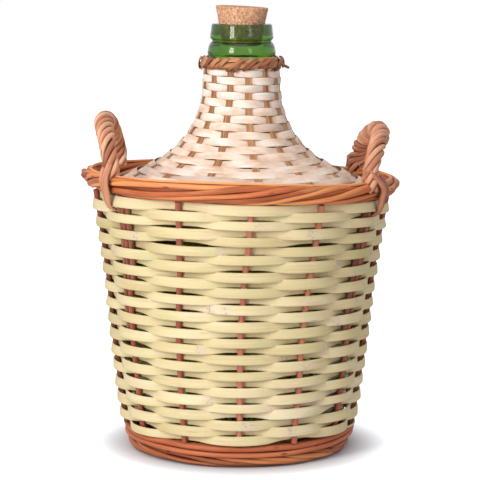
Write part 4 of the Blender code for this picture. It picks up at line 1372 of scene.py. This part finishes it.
def add_floor():
    """The pale floor, which the camera sees as white a little away from the carafe's shadow; nearer, its
    glow fades as a painted shadow.
    """
    mesh = bpy.data.meshes.new("floor")
    half = FLOOR_SIZE / 2
    corners = [(-half, -half, 0), (half, -half, 0), (half, half, 0), (-half, half, 0)]
    mesh.from_pydata(corners, [], [(0, 1, 2, 3)])
    floor = bpy.data.objects.new("floor", mesh)
    bpy.context.scene.collection.objects.link(floor)
    shader = Shader("floor", strands=False)
    shader.set("Base Color", (0.82, 0.84, 0.87, 1))
    shader.set("Roughness", 0.9)
    shader.set("Specular IOR Level", 0.1)
    far = shader.node("VectorMath", "Value", {0: shader.place}, operation="LENGTH")
    # The camera's glow fades near the carafe: a painted shadow round its foot, which whitens farther out
    # over the lamps' shadows.
    level = shader.spread(far, *SHADOW_REACH, 0.02, 1.02)
    seen = shader.node("LightPath", "Is Camera Ray", {})
    inputs = {"Color": (0.94, 0.96, 1, 1), "Strength": shader.math("MULTIPLY", seen, level)}
    glow = shader.node("Emission", 0, inputs)
    both = shader.node("AddShader", 0, {0: shader.surface.outputs[0], 1: glow})
    shader.put(shader.tree.nodes["Material Output"], "Surface", both)
    mesh.materials.append(shader.material)


def add_world():
    """Soft light from all round, seen as white by the camera, through glass and in reflections."""
    world = bpy.data.worlds.new("studio")
    bpy.context.scene.world = world
    world.use_nodes = True
    sky = Nodes(world.node_tree)
    seen = sky.node("LightPath", "Is Camera Ray", {})
    for kind in ("Is Transmission Ray", "Is Glossy Ray"):
        seen = sky.math("MAXIMUM", seen, sky.node("LightPath", kind, {}))
    back = sky.tree.nodes["Background"]
    sky.put(back, "Color", (1, 1, 1, 1))
    sky.put(back, "Strength", sky.node("MapRange", 0, {0: seen, 3: SKY_STRENGTH, 4: 1}))


def add_lamp(name, place, target, width, height, power):
    data = bpy.data.lights.new(name, "AREA")
    data.shape = "RECTANGLE"
    data.size = width
    data.size_y = height
    data.energy = power
    lamp = bpy.data.objects.new(name, data)
    lamp.location = place
    lamp.rotation_euler = (Vector(target) - Vector(place)).to_track_quat("-Z", "Y").to_euler()
    bpy.context.scene.collection.objects.link(lamp)


def add_camera():
    data = bpy.data.cameras.new("camera")
    data.sensor_width = SENSOR * 1000
    data.lens = FOCAL_PIXELS / IMAGE_SIZE * SENSOR * 1000
    camera = bpy.data.objects.new("camera", data)
    camera.location = (0, -CAMERA_DISTANCE, CAMERA_HEIGHT)
    turn = Matrix.Rotation(math.pi / 2 - CAMERA_PITCH, 4, "X")
    camera.rotation_euler = (turn @ Matrix.Rotation(CAMERA_ROLL, 4, "Z")).to_euler()
    bpy.context.scene.collection.objects.link(camera)
    bpy.context.scene.camera = camera


add_bottle()
add_cork()
add_wall()
border_draw = random.Random(17)
add_foot(border_draw)
add_rim(border_draw)
add_base()
add_hood()
add_neck_binding()
add_handle("left_handle", -1)
add_handle("right_handle", 1)
add_floor()
add_world()
add_lamp("left", (-1.18, -1.62, 0.90), (0, 0, 0.30), 0.54, 1.2, 26)
add_lamp("right", (1.02, -1.72, 0.90), (0, 0, 0.30), 0.40, 1.1, 4)
add_lamp("top", (-0.3, -0.7, 1.9), (0, 0, 0.2), 1.6, 1.4, 9.5)
add_camera()
bpy.context.scene.view_settings.view_transform = "Standard"
bpy.context.view_layer.update()
